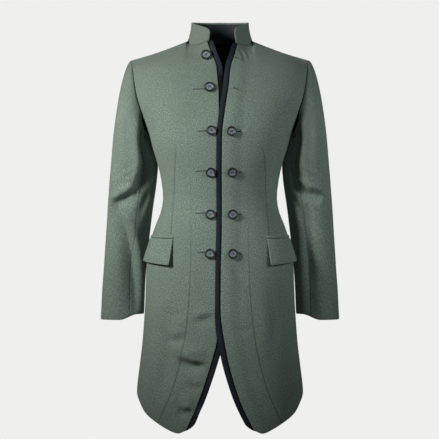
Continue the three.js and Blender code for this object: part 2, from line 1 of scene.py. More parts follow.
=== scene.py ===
# %% [markdown]
# # A frock coat in brushed wool
# A tailored coat is a set of flat pieces of cloth that are cut, sewn and pressed until they hold a
# shape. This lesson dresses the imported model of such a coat: every piece of cloth becomes a thin
# shell with soft creases, rolled seams and a woven finish, and the hard pieces, the buttons, are
# modelled by hand. Nothing is moved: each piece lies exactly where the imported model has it.

# %% Load the fixed frame
import math
from collections import namedtuple

import bpy
import numpy as np
from mathutils import Matrix, Vector
from mathutils.bvhtree import BVHTree


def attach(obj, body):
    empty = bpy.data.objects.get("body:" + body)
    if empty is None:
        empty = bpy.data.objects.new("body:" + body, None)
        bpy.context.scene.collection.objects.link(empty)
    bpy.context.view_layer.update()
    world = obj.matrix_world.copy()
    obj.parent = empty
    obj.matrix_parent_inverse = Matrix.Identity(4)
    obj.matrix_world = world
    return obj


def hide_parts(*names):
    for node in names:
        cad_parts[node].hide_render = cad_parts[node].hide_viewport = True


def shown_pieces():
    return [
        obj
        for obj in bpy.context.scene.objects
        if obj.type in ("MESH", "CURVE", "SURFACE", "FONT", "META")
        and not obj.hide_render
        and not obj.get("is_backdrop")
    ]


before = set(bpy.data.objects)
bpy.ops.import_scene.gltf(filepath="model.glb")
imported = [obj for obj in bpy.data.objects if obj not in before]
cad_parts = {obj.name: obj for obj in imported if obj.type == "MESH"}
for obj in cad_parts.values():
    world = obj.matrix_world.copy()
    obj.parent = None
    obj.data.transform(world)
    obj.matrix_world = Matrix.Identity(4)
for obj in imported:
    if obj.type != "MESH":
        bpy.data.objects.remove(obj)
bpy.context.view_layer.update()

MM = 0.001  # the tables are in millimetres, as a tailor writes them, and Blender works in metres
HANDS = (("left", 1), ("right", -1))  # the wearer's hands, and the side of the middle they are on

# %% [markdown]
# ## The studio
# Folds in dark cloth only show if the light comes from one side. So a soft key lamp stands far to
# the left and a little above the shoulders, and a cooler lamp on the right keeps the other half
# readable. A weak lamp in front, a broad one behind and a dim room fill what is left. The floor
# and the room look pale to the camera, but shed little light. The camera stands level, at half the
# coat's height, with a long lens, so that the coat's outline is hardly drawn in by perspective.

# %% Camera
CAMERA_DISTANCE = 3.5
CAMERA_HEIGHT = -0.446
CAMERA_SIDE = -0.00125
LENS = 114.8  # millimetres, on a sensor 36 mm wide

camera = bpy.data.objects.new("camera", bpy.data.cameras.new("camera"))
camera.data.lens = LENS
camera.data.sensor_width = 36
camera.location = (CAMERA_SIDE, -CAMERA_DISTANCE, CAMERA_HEIGHT)
camera.rotation_euler = (math.radians(90), 0, 0)
bpy.context.scene.collection.objects.link(camera)
bpy.context.scene.camera = camera
bpy.context.scene.view_settings.view_transform = "Standard"
print("camera", CAMERA_DISTANCE, "m in front of the coat")

# %% Floor, room and lamps
FLOOR_HEIGHT = -1.46  # a wearer's shoulders are this far above the floor
FLOOR_RADIUS = 60
PALE = (0.862, 0.866, 0.855, 1)
FLOOR_GREY = (0.3, 0.3, 0.3, 1)  # what the floor throws back at the coat
ROOM_COLOUR, ROOM_LIGHT = (0.9, 0.95, 1.0, 1), 0.012
WARM, COOL, WHITE = (1.0, 0.98, 0.945), (0.94, 0.98, 1.0), (0.97, 0.99, 1.0)


def seen_and_shed(material, seen, shed):
    """Joins two shaders: one is what the camera sees, and the other what lights the coat."""
    nodes, links = material.node_tree.nodes, material.node_tree.links
    either, path = nodes.new("ShaderNodeMixShader"), nodes.new("ShaderNodeLightPath")
    links.new(path.outputs["Is Camera Ray"], either.inputs["Fac"])
    links.new(shed.outputs[0], either.inputs[1])
    links.new(seen.outputs[0], either.inputs[2])
    end = next(n for n in nodes if n.type.startswith("OUTPUT"))
    links.new(either.outputs[0], end.inputs["Surface"])


def pale_floor():
    bpy.ops.object.select_all(action="DESELECT")
    bpy.ops.mesh.primitive_circle_add(
        vertices=96, radius=FLOOR_RADIUS, fill_type="NGON", location=(0, 0, FLOOR_HEIGHT)
    )
    floor = bpy.context.object
    floor.name = "floor"
    paper = bpy.data.materials.new("pale_paper")
    paper.use_nodes = True
    matt = paper.node_tree.nodes["Principled BSDF"]
    matt.inputs["Base Color"].default_value = FLOOR_GREY
    matt.inputs["Roughness"].default_value = 1.0
    glow = paper.node_tree.nodes.new("ShaderNodeEmission")
    glow.inputs["Color"].default_value = PALE
    seen_and_shed(paper, glow, matt)
    floor.data.materials.append(paper)
    floor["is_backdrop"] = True


def pale_room():
    world = bpy.data.worlds.new("room")
    bpy.context.scene.world = world
    world.use_nodes = True
    seen = world.node_tree.nodes["Background"]
    seen.inputs["Color"].default_value = PALE
    light = world.node_tree.nodes.new("ShaderNodeBackground")
    light.inputs["Color"].default_value = ROOM_COLOUR
    light.inputs["Strength"].default_value = ROOM_LIGHT
    seen_and_shed(world, seen, light)


def lamp(name, place, aim, watts, colour, size, cone=None):
    """A lamp turned to what it lights: a spot lamp if it has a cone, in degrees, or else a panel."""
    data = bpy.data.lights.new(name, "SPOT" if cone else "AREA")
    data.energy = watts
    data.color = colour
    if cone:
        data.shadow_soft_size = size
        data.spot_size = math.radians(cone)
        data.spot_blend = 1.0
    else:
        data.size = size
    light = bpy.data.objects.new(name, data)
    light.location = place
    light.rotation_euler = (Vector(aim) - Vector(place)).to_track_quat("-Z", "Y").to_euler()
    bpy.context.scene.collection.objects.link(light)


pale_floor()
pale_room()
lamp("key", (-1.3, -0.98, 0.26), (-0.04, -0.1, -0.16), 182, WARM, 0.22, cone=66)
lamp("side", (1.72, -1.22, 0.22), (0.2, -0.05, -0.16), 92, COOL, 0.3, cone=50)
lamp("front", (0.3, -3.0, 0.2), (0, 0, -0.3), 6, COOL, 1.4)
lamp("back", (0.0, 3.0, 0.3), (0, 0, -0.4), 60, WHITE, 1.5)

# %% [markdown]
# ## The coat's sizes
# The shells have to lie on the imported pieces, so they are worked out from the same measurements: a
# ring round the body at each height, the line of each seam, and a ring round the arm. Each table
# has one row for a section, and a smooth curve is drawn through its rows.

# %% Small tools for numbers
def table(columns, *rows):
    """Rows of numbers as one array for each named column."""
    return dict(zip(columns.split(), np.array(rows, float).T))


def read(rows, column, at, key="z"):
    """A table's column where its key has a given value, on a smooth curve through the rows."""
    order = np.argsort(rows[key])
    k, c = rows[key][order], rows[column][order]
    index = np.arange(len(k))
    after, before = np.minimum(index + 1, index[-1]), np.maximum(index - 1, 0)
    slope = (c[after] - c[before]) / (k[after] - k[before])
    at = np.clip(at, k[0], k[-1])
    i = np.clip(np.searchsorted(k, at, side="right") - 1, 0, index[-1] - 1)
    width = k[i + 1] - k[i]
    t = (at - k[i]) / width
    from_low = c[i] * (1 + 2 * t) * (1 - t) ** 2 + slope[i] * width * t * (1 - t) ** 2
    from_high = c[i + 1] * t * t * (3 - 2 * t) - slope[i + 1] * width * t * t * (1 - t)
    return from_low + from_high


def xyz(x, y, z):
    return np.stack(np.broadcast_arrays(x, y, z), axis=-1).astype(float)


def unit(v):
    return v / np.maximum(np.linalg.norm(v, axis=-1, keepdims=True), 1e-12)


def mix(a, b, t):
    return a + (b - a) * t


def soft(x, low, high):
    t = np.clip((x - low) / (high - low), 0, 1)
    return t * t * (3 - 2 * t)


def bell(x, width):
    return np.exp(-((x / width) ** 2))


def bend(start, leave, end, arrive, t, pulls=(0.36, 0.36)):
    """A point on the curve that leaves one point in a direction and reaches another in another."""
    length = np.linalg.norm(end - start, axis=-1)
    near = start + leave * (length * pulls[0])[..., None]
    far = end - arrive * (length * pulls[1])[..., None]
    t = t[..., None]
    return start * (1 - t) ** 3 + 3 * near * t * (1 - t) ** 2 + 3 * far * t**2 * (1 - t) + end * t**3


# %% Measurements of the coat, in millimetres
CLOTH, BAND_CLOTH, COLLAR_CLOTH = 2.0, 1.2, 2.6  # how thick each is
SEAM_GAP, LAYER_GAP, POCKET_GAP = 0.4, 0.4, 0.9  # between panels, under the fronts, under a pocket
OVERLAP_LIFT = 4  # how far the left front stands off where it lies over the right one

SHOULDER = np.array([221.0, 2.0, -47.0])  # the outer end of the shoulder seam
SHOULDER_SAG = 3
ARMHOLE_MIDDLE, ARMHOLE_HALF = -141, 94
ARMHOLE_DEPTH = {"front": -57, "back": 60}
UNDERARM = ARMHOLE_MIDDLE - ARMHOLE_HALF
NECK_SIDE, NECK_DEPTH = 82, {"front": 91, "back": 62}
COLLAR_TOP = {"side": 72.5, "front": 85, "back": 59}
COLLAR_OVERHANG = 4  # how far its ends reach past the fronts' edges
BAND_SHOWS, BAND_UNDER = 14, 10  # widths of the band beyond the front's edge and under it
BAND_WIDENS = 4.5  # how much wider the bands are round the lower curve
VENT_TOP = -560

PANEL = 0.45  # share of each half's width at the seam between front and side front
NECK_END = {"front": 0.52, "back": 0.55}  # share at the corner of neck and shoulder
YOKE_END, ARMHOLE_END, HEM_END = 4, 12, 27  # steps down the body
SLEEVE_TOP, SLEEVE_UNDER = 17, 7  # steps round the sleeve
SLEEVE_CAP_END, CUFF_END = 4, 16  # steps down the sleeve
CUFF_LIFT = 14  # how much shorter the sleeve is next to the body
SLEEVE_SEAMS = {"front": (135, 111), "back": (240, 255)}  # angles at the armhole and at the cuff
UNDERARM_TUCK = 3.0  # how far the sleeve's rim goes in under the body's edge below the arm
SLIT_CLOSES = 2.6  # how far the sleeve is drawn in just below the armhole, close to the body
SLEEVE_SINKS = 2  # how far it may go in past the body's outer face
YOKE_LEVEL = ARMHOLE_MIDDLE + ARMHOLE_HALF * math.cos(math.pi * YOKE_END / ARMHOLE_END)

# %% The body's sections
TORSO = table(
    "z side front back square",
    (-60, 221, 105, 86, 2.0),
    (-100, 219, 114, 96, 2.3),
    (-160, 210, 122, 103, 2.45),
    (-235, 178, 124, 102, 2.45),
    (-270, 168, 121, 97, 2.4),
    (-306, 157, 117, 89, 2.3),
    (-345, 148, 111, 80, 2.25),
    (-390, 143, 107, 75, 2.2),
    (-425, 148, 108, 80, 2.2),
    (-462, 162, 112, 91, 2.2),
    (-500, 175, 117, 101, 2.2),
    (-545, 183, 122, 109, 2.25),
    (-640, 187, 129, 116, 2.3),
    (-714, 191, 134, 121, 2.3),
    (-760, 195, 138, 124, 2.3),
    (-809, 201, 142, 128, 2.3),
    (-860, 207, 146, 132, 2.3),
    (-960, 212, 152, 140, 2.3),
)
ARMHOLE_EDGE = table(
    "z x", (-47, 221), (-97, 213.5), (-145, 205), (-172, 196.5), (-209, 184.5), (-235, 178)
)
FRONT_EDGE = table(
    "z left right",
    (-10, 45, 32),
    (-40, 38, 22.5),
    (-70, 28, 10),
    (-94, 23.5, 7),
    (-131, 19.5, 4),
    (-174, 13, 2.5),
    (-230, 6, 2.5),
    (-300, 4.5, 2.5),
    (-460, 4.5, 2.5),
    (-580, 2, 3),
    (-675, 2, 3.5),
    (-711, 6, 4.5),
    (-750, 12.5, 10),
    (-797, 22, 23),
    (-841, 34, 37),
    (-880, 47, 51),
    (-913, 61, 64.5),
    (-957, 83, 84),
)
PANEL_SEAM = table(
    "z x",
    (-15, 73),
    (-124, 79),
    (-228, 79),
    (-374, 72),
    (-520, 70.5),
    (-642, 75),
    (-750, 88),
    (-846, 112),
    (-940, 151),
)
VENT_EDGE = table(
    "z x", (-560, 0), (-640, 1), (-711, 5), (-750, 12), (-797, 24), (-841, 38), (-880, 52), (-957, 84)
)
HEM = {
    "front": table(
        "across z",
        (0, -953),
        (0.11, -960),
        (0.27, -954),
        (0.45, -940),
        (0.66, -918),
        (0.82, -891),
        (0.93, -877),
        (1, -873),
    ),
    "back": table(
        "across z", (0, -953), (0.15, -958), (0.5, -938), (0.76, -904), (0.92, -878), (1, -873)
    ),
}

# %% The neck's and the sleeve's sections
NECKLINE = table(
    "angle seam top",
    (20, -8, 20),
    (40, -16, 29),
    (65, -12, 38),
    (90, 0, 46),
    (130, 2, 51),
    (180, 3, 54),
)
SLEEVE = table(
    "z outer inner middle depth",
    (-262, 270, 168.5, 10, 57),
    (-306, 274, 155.5, 14, 56),
    (-345, 278, 157.5, 19, 54),
    (-407, 283, 167, 27, 51),
    (-462, 287, 174, 32, 48),
    (-515, 290.5, 180, 34, 45),
    (-575, 294, 186, 34, 42),
    (-635, 298, 189, 32, 39),
    (-697, 301, 191, 29, 36),
)
SLEEVE_FOOT, CUFF = -262, -697
print("tables read; width at the chest", 2 * read(TORSO, "side", -160.0), "mm")

# %% [markdown]
# ## The body's surface
# A coat's front is not a tube: it hangs from the shoulder seam, runs over a rounded shoulder, and
# only then follows the body. So the top of each half is drawn as curves that leave the neck or the
# shoulder seam level and land on the ring below, and the rest is taken from the rings. Working with
# whole arrays at once gives a fine grid of points in a moment.

# %% Rings and seams
def armhole_height(down):
    return ARMHOLE_MIDDLE + ARMHOLE_HALF * np.cos(np.pi * down / ARMHOLE_END)


def armhole_point(z, half):
    rise = np.clip((z - ARMHOLE_MIDDLE) / ARMHOLE_HALF, -1, 1)
    y = SHOULDER[1] + ARMHOLE_DEPTH[half] * np.sqrt(1 - rise * rise)
    return xyz(read(ARMHOLE_EDGE, "x", z), y * soft(z, UNDERARM - 1, UNDERARM + 1), z)


def ring_at(z, half):
    """The body's ring at a height. Beside the armhole it is as wide as the armhole's edge needs."""
    z = np.asarray(z, float)
    ring = {column: read(TORSO, column, z) for column in ("side", "front", "back", "square")}
    edge = armhole_point(z, half)
    reach = np.minimum(np.abs(edge[..., 1]) / ring[half], 0.99)
    beside = edge[..., 0] / (1 - reach ** ring["square"]) ** (1 / ring["square"])
    ring["side"] = np.where(z > UNDERARM, beside, ring["side"])
    return ring | {"z": z}


def ring_point(ring, angle):
    depth = np.where(np.cos(angle) > 0, ring["front"], ring["back"])
    across = np.abs(np.sin(angle)) / ring["side"]
    along = np.abs(np.cos(angle)) / depth
    radius = (across ** ring["square"] + along ** ring["square"]) ** (-1 / ring["square"])
    return xyz(radius * np.sin(angle), -radius * np.cos(angle), ring["z"])


def angle_of(ring, x, half):
    share = np.minimum(np.abs(x) / ring["side"], 1)
    depth = ring[half] * (1 - share ** ring["square"]) ** (1 / ring["square"])
    return np.arctan2(x, depth if half == "front" else -depth)


def front_edge(side, z):
    return read(FRONT_EDGE, "left" if side > 0 else "right", z)


def angle_across(side, half, across, ring):
    """The angle of a place across one half: 0 is the middle, and 1 the armhole and side seam."""
    z = ring["z"]
    edge = armhole_point(z, half)
    edge_angle = np.where(z > UNDERARM, np.arctan2(edge[..., 0], -edge[..., 1]), np.pi / 2)
    yoke = armhole_point(YOKE_LEVEL, half)
    settled = mix(np.pi / 2, np.arctan2(yoke[0], -yoke[1]), soft(z, -350, YOKE_LEVEL))
    side_angle = mix(settled, edge_angle, across**6)
    if half == "back":
        middle = np.where(z > VENT_TOP, 0, read(VENT_EDGE, "x", z))
        return mix(angle_of(ring, middle, "back"), side_angle, across)
    seam = angle_of(ring, read(PANEL_SEAM, "x", z), "front")
    first = angle_of(ring, front_edge(side, z), "front")
    outer = mix(seam, side_angle, (across - PANEL) / (1 - PANEL))
    return np.where(across > PANEL, outer, mix(first, seam, across / PANEL))


def girth_point(side, half, ring, angle):
    """A point of the ring. The left front is lifted where it lies over the right one."""
    at = ring_point(ring, angle)
    if side < 0 or half == "back":
        return at
    from_edge = at[..., 0] - front_edge(side, ring["z"])
    lift = OVERLAP_LIFT * soft(-ring["z"], 25, 85) * (1 - soft(from_edge, 16, 50))
    at[..., :2] *= (1 + lift / np.hypot(at[..., 0], at[..., 1]))[..., None]
    return at


def place_point(side, half, across, z):
    ring = ring_at(z, half)
    return girth_point(side, half, ring, angle_across(side, half, across, ring))


# %% The rounded top of the shoulder
def neck_point(degrees):
    turn = np.radians(degrees)
    depth = np.where(np.cos(turn) > 0, NECK_DEPTH["front"], NECK_DEPTH["back"])
    seam = read(NECKLINE, "seam", degrees, key="angle")
    return xyz(NECK_SIDE * np.sin(turn), -depth * np.cos(turn), seam)


def neck_angle(x):
    return np.degrees(np.arcsin(x / NECK_SIDE))


def collar_start(side):
    """The angles where a front's edge and its long seam meet the neck."""
    return neck_angle(front_edge(side, NECKLINE["seam"][0])), neck_angle(PANEL_SEAM["x"][0])


def shoulder_point(share):
    at = mix(neck_point(np.array(90.0)), SHOULDER, share[..., None])
    at[..., 2] -= SHOULDER_SAG * np.sin(np.pi * share)
    return at


def top_of(side, half, across):
    """Where a column starts, on the neck or shoulder seam, and the way in which the cloth leaves."""
    end = NECK_END[half]
    from_shoulder = unit(np.array([0, -1 if half == "front" else 1, -0.06]))
    on_shoulder = shoulder_point(np.clip((across - end) / (1 - end), 0, 1))
    if half == "back":
        share = np.clip(across / end, 0, 1)
        degrees, turned = mix(180, 90, share), share**1.5
        from_neck = np.array([0, 0.45, -0.89])
    else:
        first, seam = collar_start(side)
        outer = mix(seam, 90, np.clip((across - PANEL) / (end - PANEL), 0, 1))
        degrees = np.where(across < PANEL, mix(first, seam, across / PANEL), outer)
        turned = (degrees / 90) ** 2
        from_neck = np.array([-0.1, -0.72, -0.69])
    leave = unit(mix(from_neck, from_shoulder, turned[..., None]))
    past = (across > end)[..., None]
    return np.where(past, on_shoulder, neck_point(degrees)), np.where(past, from_shoulder, leave)


def yoke_point(side, half, across, height):
    t = (height - SHOULDER[2]) / (YOKE_LEVEL - SHOULDER[2])

    def curve(place):
        at, leave = top_of(side, half, place)
        foot = place_point(side, half, place, np.full_like(place, YOKE_LEVEL))
        below = place_point(side, half, place, np.full_like(place, YOKE_LEVEL - 12))
        return bend(at, leave, foot, unit(below - foot), t)

    at = curve(across)
    slip = armhole_point(height, half) - curve(np.ones_like(across))
    at += slip * (np.clip((across - NECK_END[half]) / (1 - NECK_END[half]), 0, 1) ** 4)[..., None]
    if half == "back":
        return at
    edge, seam = curve(np.zeros_like(across)), curve(np.full_like(across, PANEL))
    edge_slip = front_edge(side, edge[..., 2]) - edge[..., 0]
    seam_slip = read(PANEL_SEAM, "x", seam[..., 2]) - seam[..., 0]
    fade = np.where(across < PANEL, 1, ((1 - across) / (1 - PANEL)) ** 2) * soft(t, 0, 0.35)
    at[..., 0] += mix(edge_slip, seam_slip, np.clip(across / PANEL, 0, 1)) * fade
    return at


def body_points(side, half, across, down):
    """The body's grid, a row for each step down and a column for each place across."""
    across, down = np.broadcast_arrays(across, down[:, None])
    high = down[:, 0] < YOKE_END
    yoke = yoke_point(side, half, across[high], armhole_height(down[high]))
    across, down = across[~high], down[~high]
    share = (down - YOKE_END) / (ARMHOLE_END - YOKE_END)
    beside = mix(mix(YOKE_LEVEL, UNDERARM, share), armhole_height(down), across**6)
    hem = read(HEM[half], "z", across, key="across")
    below = mix(UNDERARM, hem, (down - ARMHOLE_END) / (HEM_END - ARMHOLE_END))
    lower = place_point(side, half, across, np.where(down < ARMHOLE_END, beside, below))
    return np.concatenate([yoke, lower])


# %% [markdown]
# ## Where the grid is fine
# Cloth shows its finest form at its seams, where the edges turn in, and its broadest between them.
# So the columns and rows crowd together at both ends of each panel, and one column of the side
# front follows the dart that takes in the waist.

# %% Rows and columns
DART = table("z x", (-268, 107.5), (-326, 111), (-372, 112.7), (-420, 116), (-486, 119.7))
DART_ACROSS = 0.68  # the dart's own column, away from the dart's ends


def crowded(start, end, count, pinch=0.68):
    """Places from start to end, closer together at both ends."""
    t = np.linspace(0, 1, count)
    return start + (end - start) * (t - pinch * np.sin(2 * np.pi * t) / (2 * np.pi))


def joined(*runs):
    return np.concatenate([runs[0], *(run[1:] for run in runs[1:])])


def with_corner(columns, place):
    """The columns with the nearest one moved to a corner that must be met exactly."""
    columns = columns.copy()
    columns[np.argmin(np.abs(columns - place))] = place
    return columns


heights = np.linspace(SHOULDER[2], YOKE_LEVEL, 30)[:-1]
yoke_rows = np.arccos((heights - ARMHOLE_MIDDLE) / ARMHOLE_HALF) * ARMHOLE_END / np.pi
hem_rows = np.linspace(ARMHOLE_END, HEM_END - 0.15, 205)[1:]
last_rows = [HEM_END - 0.09, HEM_END - 0.04, HEM_END]
ROWS = np.concatenate([yoke_rows, np.linspace(YOKE_END, ARMHOLE_END, 46), hem_rows, last_rows])
CENTRE_COLUMNS, DART_COLUMNS = crowded(0, PANEL, 32), crowded(PANEL, DART_ACROSS, 24)
SIDE_COLUMNS = joined(DART_COLUMNS, crowded(DART_ACROSS, 1, 28))
FRONT_COLUMNS = with_corner(joined(CENTRE_COLUMNS, SIDE_COLUMNS), NECK_END["front"])
BACK_COLUMNS = with_corner(crowded(0, 1, 72), NECK_END["back"])
CENTRE_END = len(CENTRE_COLUMNS) - 1
DART_COLUMN = len(DART_COLUMNS) - 1  # counted from the long seam


def dart_line(side, down):
    """How far the dart's column moves from its usual place in each row, to lie on the dart."""
    z = body_points(side, "front", np.full((len(down), 1), DART_ACROSS), down)[:, 0, 2]
    ring = ring_at(z, "front")
    seam = angle_of(ring, read(PANEL_SEAM, "x", z), "front")
    dart = angle_of(ring, read(DART, "x", z), "front")
    side_angle = angle_across(side, "front", np.full_like(z, 0.9999), ring)
    place = PANEL + (1 - PANEL) * (dart - seam) / (side_angle - seam)
    return (place - DART_ACROSS) * soft(z, -640, -500) * (1 - soft(z, -250, -150))


def front_places(side):
    """The front's columns in each row, with the dart's column drawn to the dart."""
    columns = np.tile(FRONT_COLUMNS, (len(ROWS), 1))
    near = np.interp(FRONT_COLUMNS, [PANEL, DART_ACROSS, 1], [0, 1, 0])
    return columns + dart_line(side, ROWS)[:, None] * near


print(len(ROWS), "rows;", len(FRONT_COLUMNS), "columns on a front and", len(BACK_COLUMNS), "on a back")

# %% [markdown]
# ## The sleeve and the collar
# A sleeve is set into an oval armhole and comes out of it at the side, then turns down and becomes
# a tube that is a little bent at the elbow. The stand collar is a band round the neck. Both are
# drawn by angle: the sleeve's angles run from its outer edge over the front of the arm.

# %% Sleeve and collar points
def sleeve_point(z, degrees):
    outer, inner = read(SLEEVE, "outer", z), read(SLEEVE, "inner", z)
    turn = np.radians(degrees)
    y = read(SLEEVE, "middle", z) - read(SLEEVE, "depth", z) * np.sin(turn)
    return xyz(mix(inner, outer, (1 + np.cos(turn)) / 2), y, z)


def sleeve_angle(column, share):
    back = mix(*SLEEVE_SEAMS["back"], share)
    front = mix(*SLEEVE_SEAMS["front"], share)
    over = mix(back - 360, front, column / SLEEVE_TOP)
    under = mix(front, back, (column - SLEEVE_TOP) / SLEEVE_UNDER)
    return np.where(column <= SLEEVE_TOP, over, under)


def beside_body(points):
    """The sleeve's points, drawn in to the body's side below the armhole, and never far inside it.

    Only points that are close to the side are drawn in, so that no light shows between the two.
    """
    x, y, z = np.moveaxis(points, -1, 0)
    depth = np.where(y < 0, read(TORSO, "front", z), read(TORSO, "back", z))
    square = read(TORSO, "square", z)
    share = np.minimum(np.abs(y) / depth, 1)
    wall = read(TORSO, "side", z) * (1 - share**square) ** (1 / square)
    close = soft(wall - x, -5, -1.5) * soft(z, -308, -298) * soft(UNDERARM - z, 0, 3)
    pressed = np.maximum(x - SLIT_CLOSES * close, wall - SLEEVE_SINKS)
    return xyz(np.where(z < UNDERARM - 1, pressed, x), y, z)


def arm_points(column, down):
    """The sleeve's grid: columns start at the back seam, and rows at the armhole."""
    column, down = np.broadcast_arrays(column, down[:, None])
    cap = down[:, 0] < SLEEVE_CAP_END
    round_, lower = column[cap], column[~cap]
    turn = np.radians(sleeve_angle(round_, 0.0))
    height = ARMHOLE_MIDDLE + ARMHOLE_HALF * np.cos(turn)
    facing = (np.sin(turn) > 0)[..., None]
    edge = np.where(facing, armhole_point(height, "front"), armhole_point(height, "back"))
    low = (1 - np.cos(turn)) / 2
    leave = unit(xyz(mix(0.93, -0.12, low), -0.25 * np.sin(turn), -mix(0.3, 0.95, low)))
    degrees = sleeve_angle(round_, 0.25)
    foot = sleeve_point(np.full_like(degrees, SLEEVE_FOOT), degrees)
    arrive = unit(sleeve_point(np.full_like(degrees, SLEEVE_FOOT - 20), degrees) - foot)
    t = (down[cap] / SLEEVE_CAP_END) ** 1.5
    shoulder = bend(edge, leave, foot, arrive, t, (mix(0.1, 0.3, low), 0.42))
    shoulder[..., 0] -= UNDERARM_TUCK * soft(low, 0.78, 0.9) * (1 - soft(t, 0.25, 0.8))
    share = (down[~cap] - SLEEVE_CAP_END) / (CUFF_END - SLEEVE_CAP_END)
    degrees = sleeve_angle(lower, mix(0.25, 1, soft(share, 0, 0.4)))
    next_to_body = soft(-np.cos(np.radians(degrees)), -0.1, 0.75)
    arm = sleeve_point(mix(SLEEVE_FOOT, CUFF + CUFF_LIFT * next_to_body, share), degrees)
    return beside_body(np.concatenate([shoulder, arm]))


def collar_points(rows):
    """The collar's grid from its top to the neck seam, and from the right end to the left one."""
    halves = []
    for side in (-1, 1):
        first = neck_angle(front_edge(side, NECKLINE["seam"][0]) - COLLAR_OVERHANG)
        degrees = crowded(first, 180, 86)
        from_end = np.radians(degrees - first) * NECK_SIDE
        turn = np.radians(degrees)
        foot = neck_point(degrees)
        depth = np.where(np.cos(turn) > 0, COLLAR_TOP["front"], COLLAR_TOP["back"])
        height = rows[:, None] * (1 - 0.25 * np.exp(-from_end / 3.2))
        spread = (1 - height) ** 2
        x = mix(COLLAR_TOP["side"] * np.sin(turn), foot[:, 0], spread)
        y = mix(-depth * np.cos(turn), foot[:, 1], spread)
        z = mix(foot[:, 2] - SEAM_GAP, read(NECKLINE, "top", degrees, key="angle"), height)
        halves.append(xyz(x * side, y, z))
    return np.concatenate([halves[0], halves[1][:, -2::-1]], axis=1)


print("cuff", round(float(sleeve_point(CUFF, 0.0)[0] - sleeve_point(CUFF, 180.0)[0])), "mm wide")

# %% [markdown]
# ## Sheets, seams and creases
# A sheet here is a grid of points with an outward normal at each. Three things make it look sewn
# and worn. It is never quite even: long, shallow waves run through it. It has creases where it is
# pulled or folded: a soft trough with a low ridge beside it, which fades out at both ends. And it
# rolls in at its seams, with the small puckers that thread leaves.

# %% A sheet and its normals
Sheet = namedtuple("Sheet", "points normals")


def sheet_of(points, axis, closed=False):
    """A sheet with normals that point away from an axis, given as a point for each grid point."""
    wide = np.concatenate([points[:, -2:-1], points, points[:, 1:2]], axis=1) if closed else points
    across = np.gradient(wide, axis=1)
    across = across[:, 1:-1] if closed else across
    normals = unit(np.cross(np.gradient(points, axis=0), across))
    inward = (normals * (points - axis)).sum(-1) < 0
    normals[inward] *= -1
    return Sheet(points, normals)


def sliced(sheet, first, last):
    return Sheet(sheet.points[:, first : last + 1].copy(), sheet.normals[:, first : last + 1].copy())


def moved_out(sheet, distance):
    return Sheet(sheet.points + sheet.normals * np.asarray(distance)[..., None], sheet.normals)


def along(points, axis):
    """How far each point is from the first one, measured along the grid."""
    steps = np.linalg.norm(np.diff(points, axis=axis), axis=-1)
    return np.concatenate([np.zeros_like(steps.take([0], axis)), np.cumsum(steps, axis)], axis)


# %% Long, shallow waves
WAVES = table(
    "x y z turn depth",
    (0.021, 0.034, 0.009, 0.4, 0.34),
    (-0.034, 0.018, 0.016, 2.1, 0.26),
    (0.012, -0.027, 0.041, 4.0, 0.24),
    (0.052, 0.044, -0.023, 1.3, 0.15),
    (-0.029, 0.061, 0.067, 5.2, 0.12),
)


def unevenness(points):
    """Shallow hollows. They only go inwards, so nothing that lies on the cloth is touched."""
    turns = points @ np.array([WAVES["x"], WAVES["y"], WAVES["z"]]) + WAVES["turn"]
    return ((np.sin(turns) - 1) * WAVES["depth"] * 0.5).sum(-1)


# %% Creases
Crease = namedtuple("Crease", "route width depth ridge spread", defaults=(0.5, 1))


def smooth_route(route, count=14):
    """Evenly spaced places on a smooth curve through a crease's few places."""
    route = np.array(route, float)
    line = table("k a b", *[(k, a, b) for k, (a, b) in enumerate(route)])
    k = np.linspace(0, len(route) - 1, count)
    return np.stack([read(line, "a", k, key="k"), read(line, "b", k, key="k")], axis=-1)


def crease_depth(sheet, places, crease):
    """How far one crease moves each point of a sheet. `places` says where each point is.

    Seen from outside, the ridge is on the right of the route, and the trough is `spread` times
    wider on its left. A crease of negative depth is a bulge. The right half of the coat is drawn
    on the left one's side and mirrored at the end, so there the two are the other way round.
    """
    route = smooth_route(crease.route)
    flat = places.reshape(-1, 2)
    found = [np.argmin(((flat - place) ** 2).sum(-1)) for place in route]
    line = sheet.points.reshape(-1, 3)[found]
    line[1:-1] = (line[:-2] + 2 * line[1:-1] + line[2:]) / 4
    reach = (3 + 2 * crease.spread) * crease.width
    box = (sheet.points > line.min(0) - reach).all(-1) & (sheet.points < line.max(0) + reach).all(-1)
    points, normals = sheet.points[box], sheet.normals[box]
    nearest = np.full(len(points), np.inf)
    share, beside = np.zeros(len(points)), np.zeros(len(points))
    for k, (a, b) in enumerate(zip(line, line[1:])):
        step = b - a
        length = max(float(step @ step), 1e-9)
        t = np.clip((points - a) @ step / length, 0, 1)
        off = points - a - t[:, None] * step
        distance = np.linalg.norm(off, axis=-1)
        closer = distance < nearest
        nearest[closer] = distance[closer]
        share[closer] = (k + t[closer]) / (len(line) - 1)
        sideways = unit(np.cross(step, normals))
        beside[closer] = (off * sideways).sum(-1)[closer]
    past = np.sqrt(np.maximum(nearest**2 - beside**2, 0))
    fade = np.sin(np.pi * np.clip(share, 0, 1)) ** 0.8
    trough = bell(nearest, crease.width * np.where(beside < 0, crease.spread, 1))
    ridge = bell(beside - 1.9 * crease.width, 1.2 * crease.width) * bell(past, 2 * crease.width)
    result = np.zeros(sheet.points.shape[:-1])
    result[box] = crease.depth * fade * (crease.ridge * ridge - trough)
    return result


def creased(sheet, places, creases):
    distance = unevenness(sheet.points)
    for crease in creases:
        distance += crease_depth(sheet, places, crease)
    return moved_out(sheet, distance)


# %% [markdown]
# ## From a sheet to a shell
# A shell is the sheet, the same sheet moved inwards by the cloth's thickness, and a rounded rim
# between them. The outside is one finish and the inside another, because a coat is lined. The hem
# is turned up, so near it the inside is wool again.

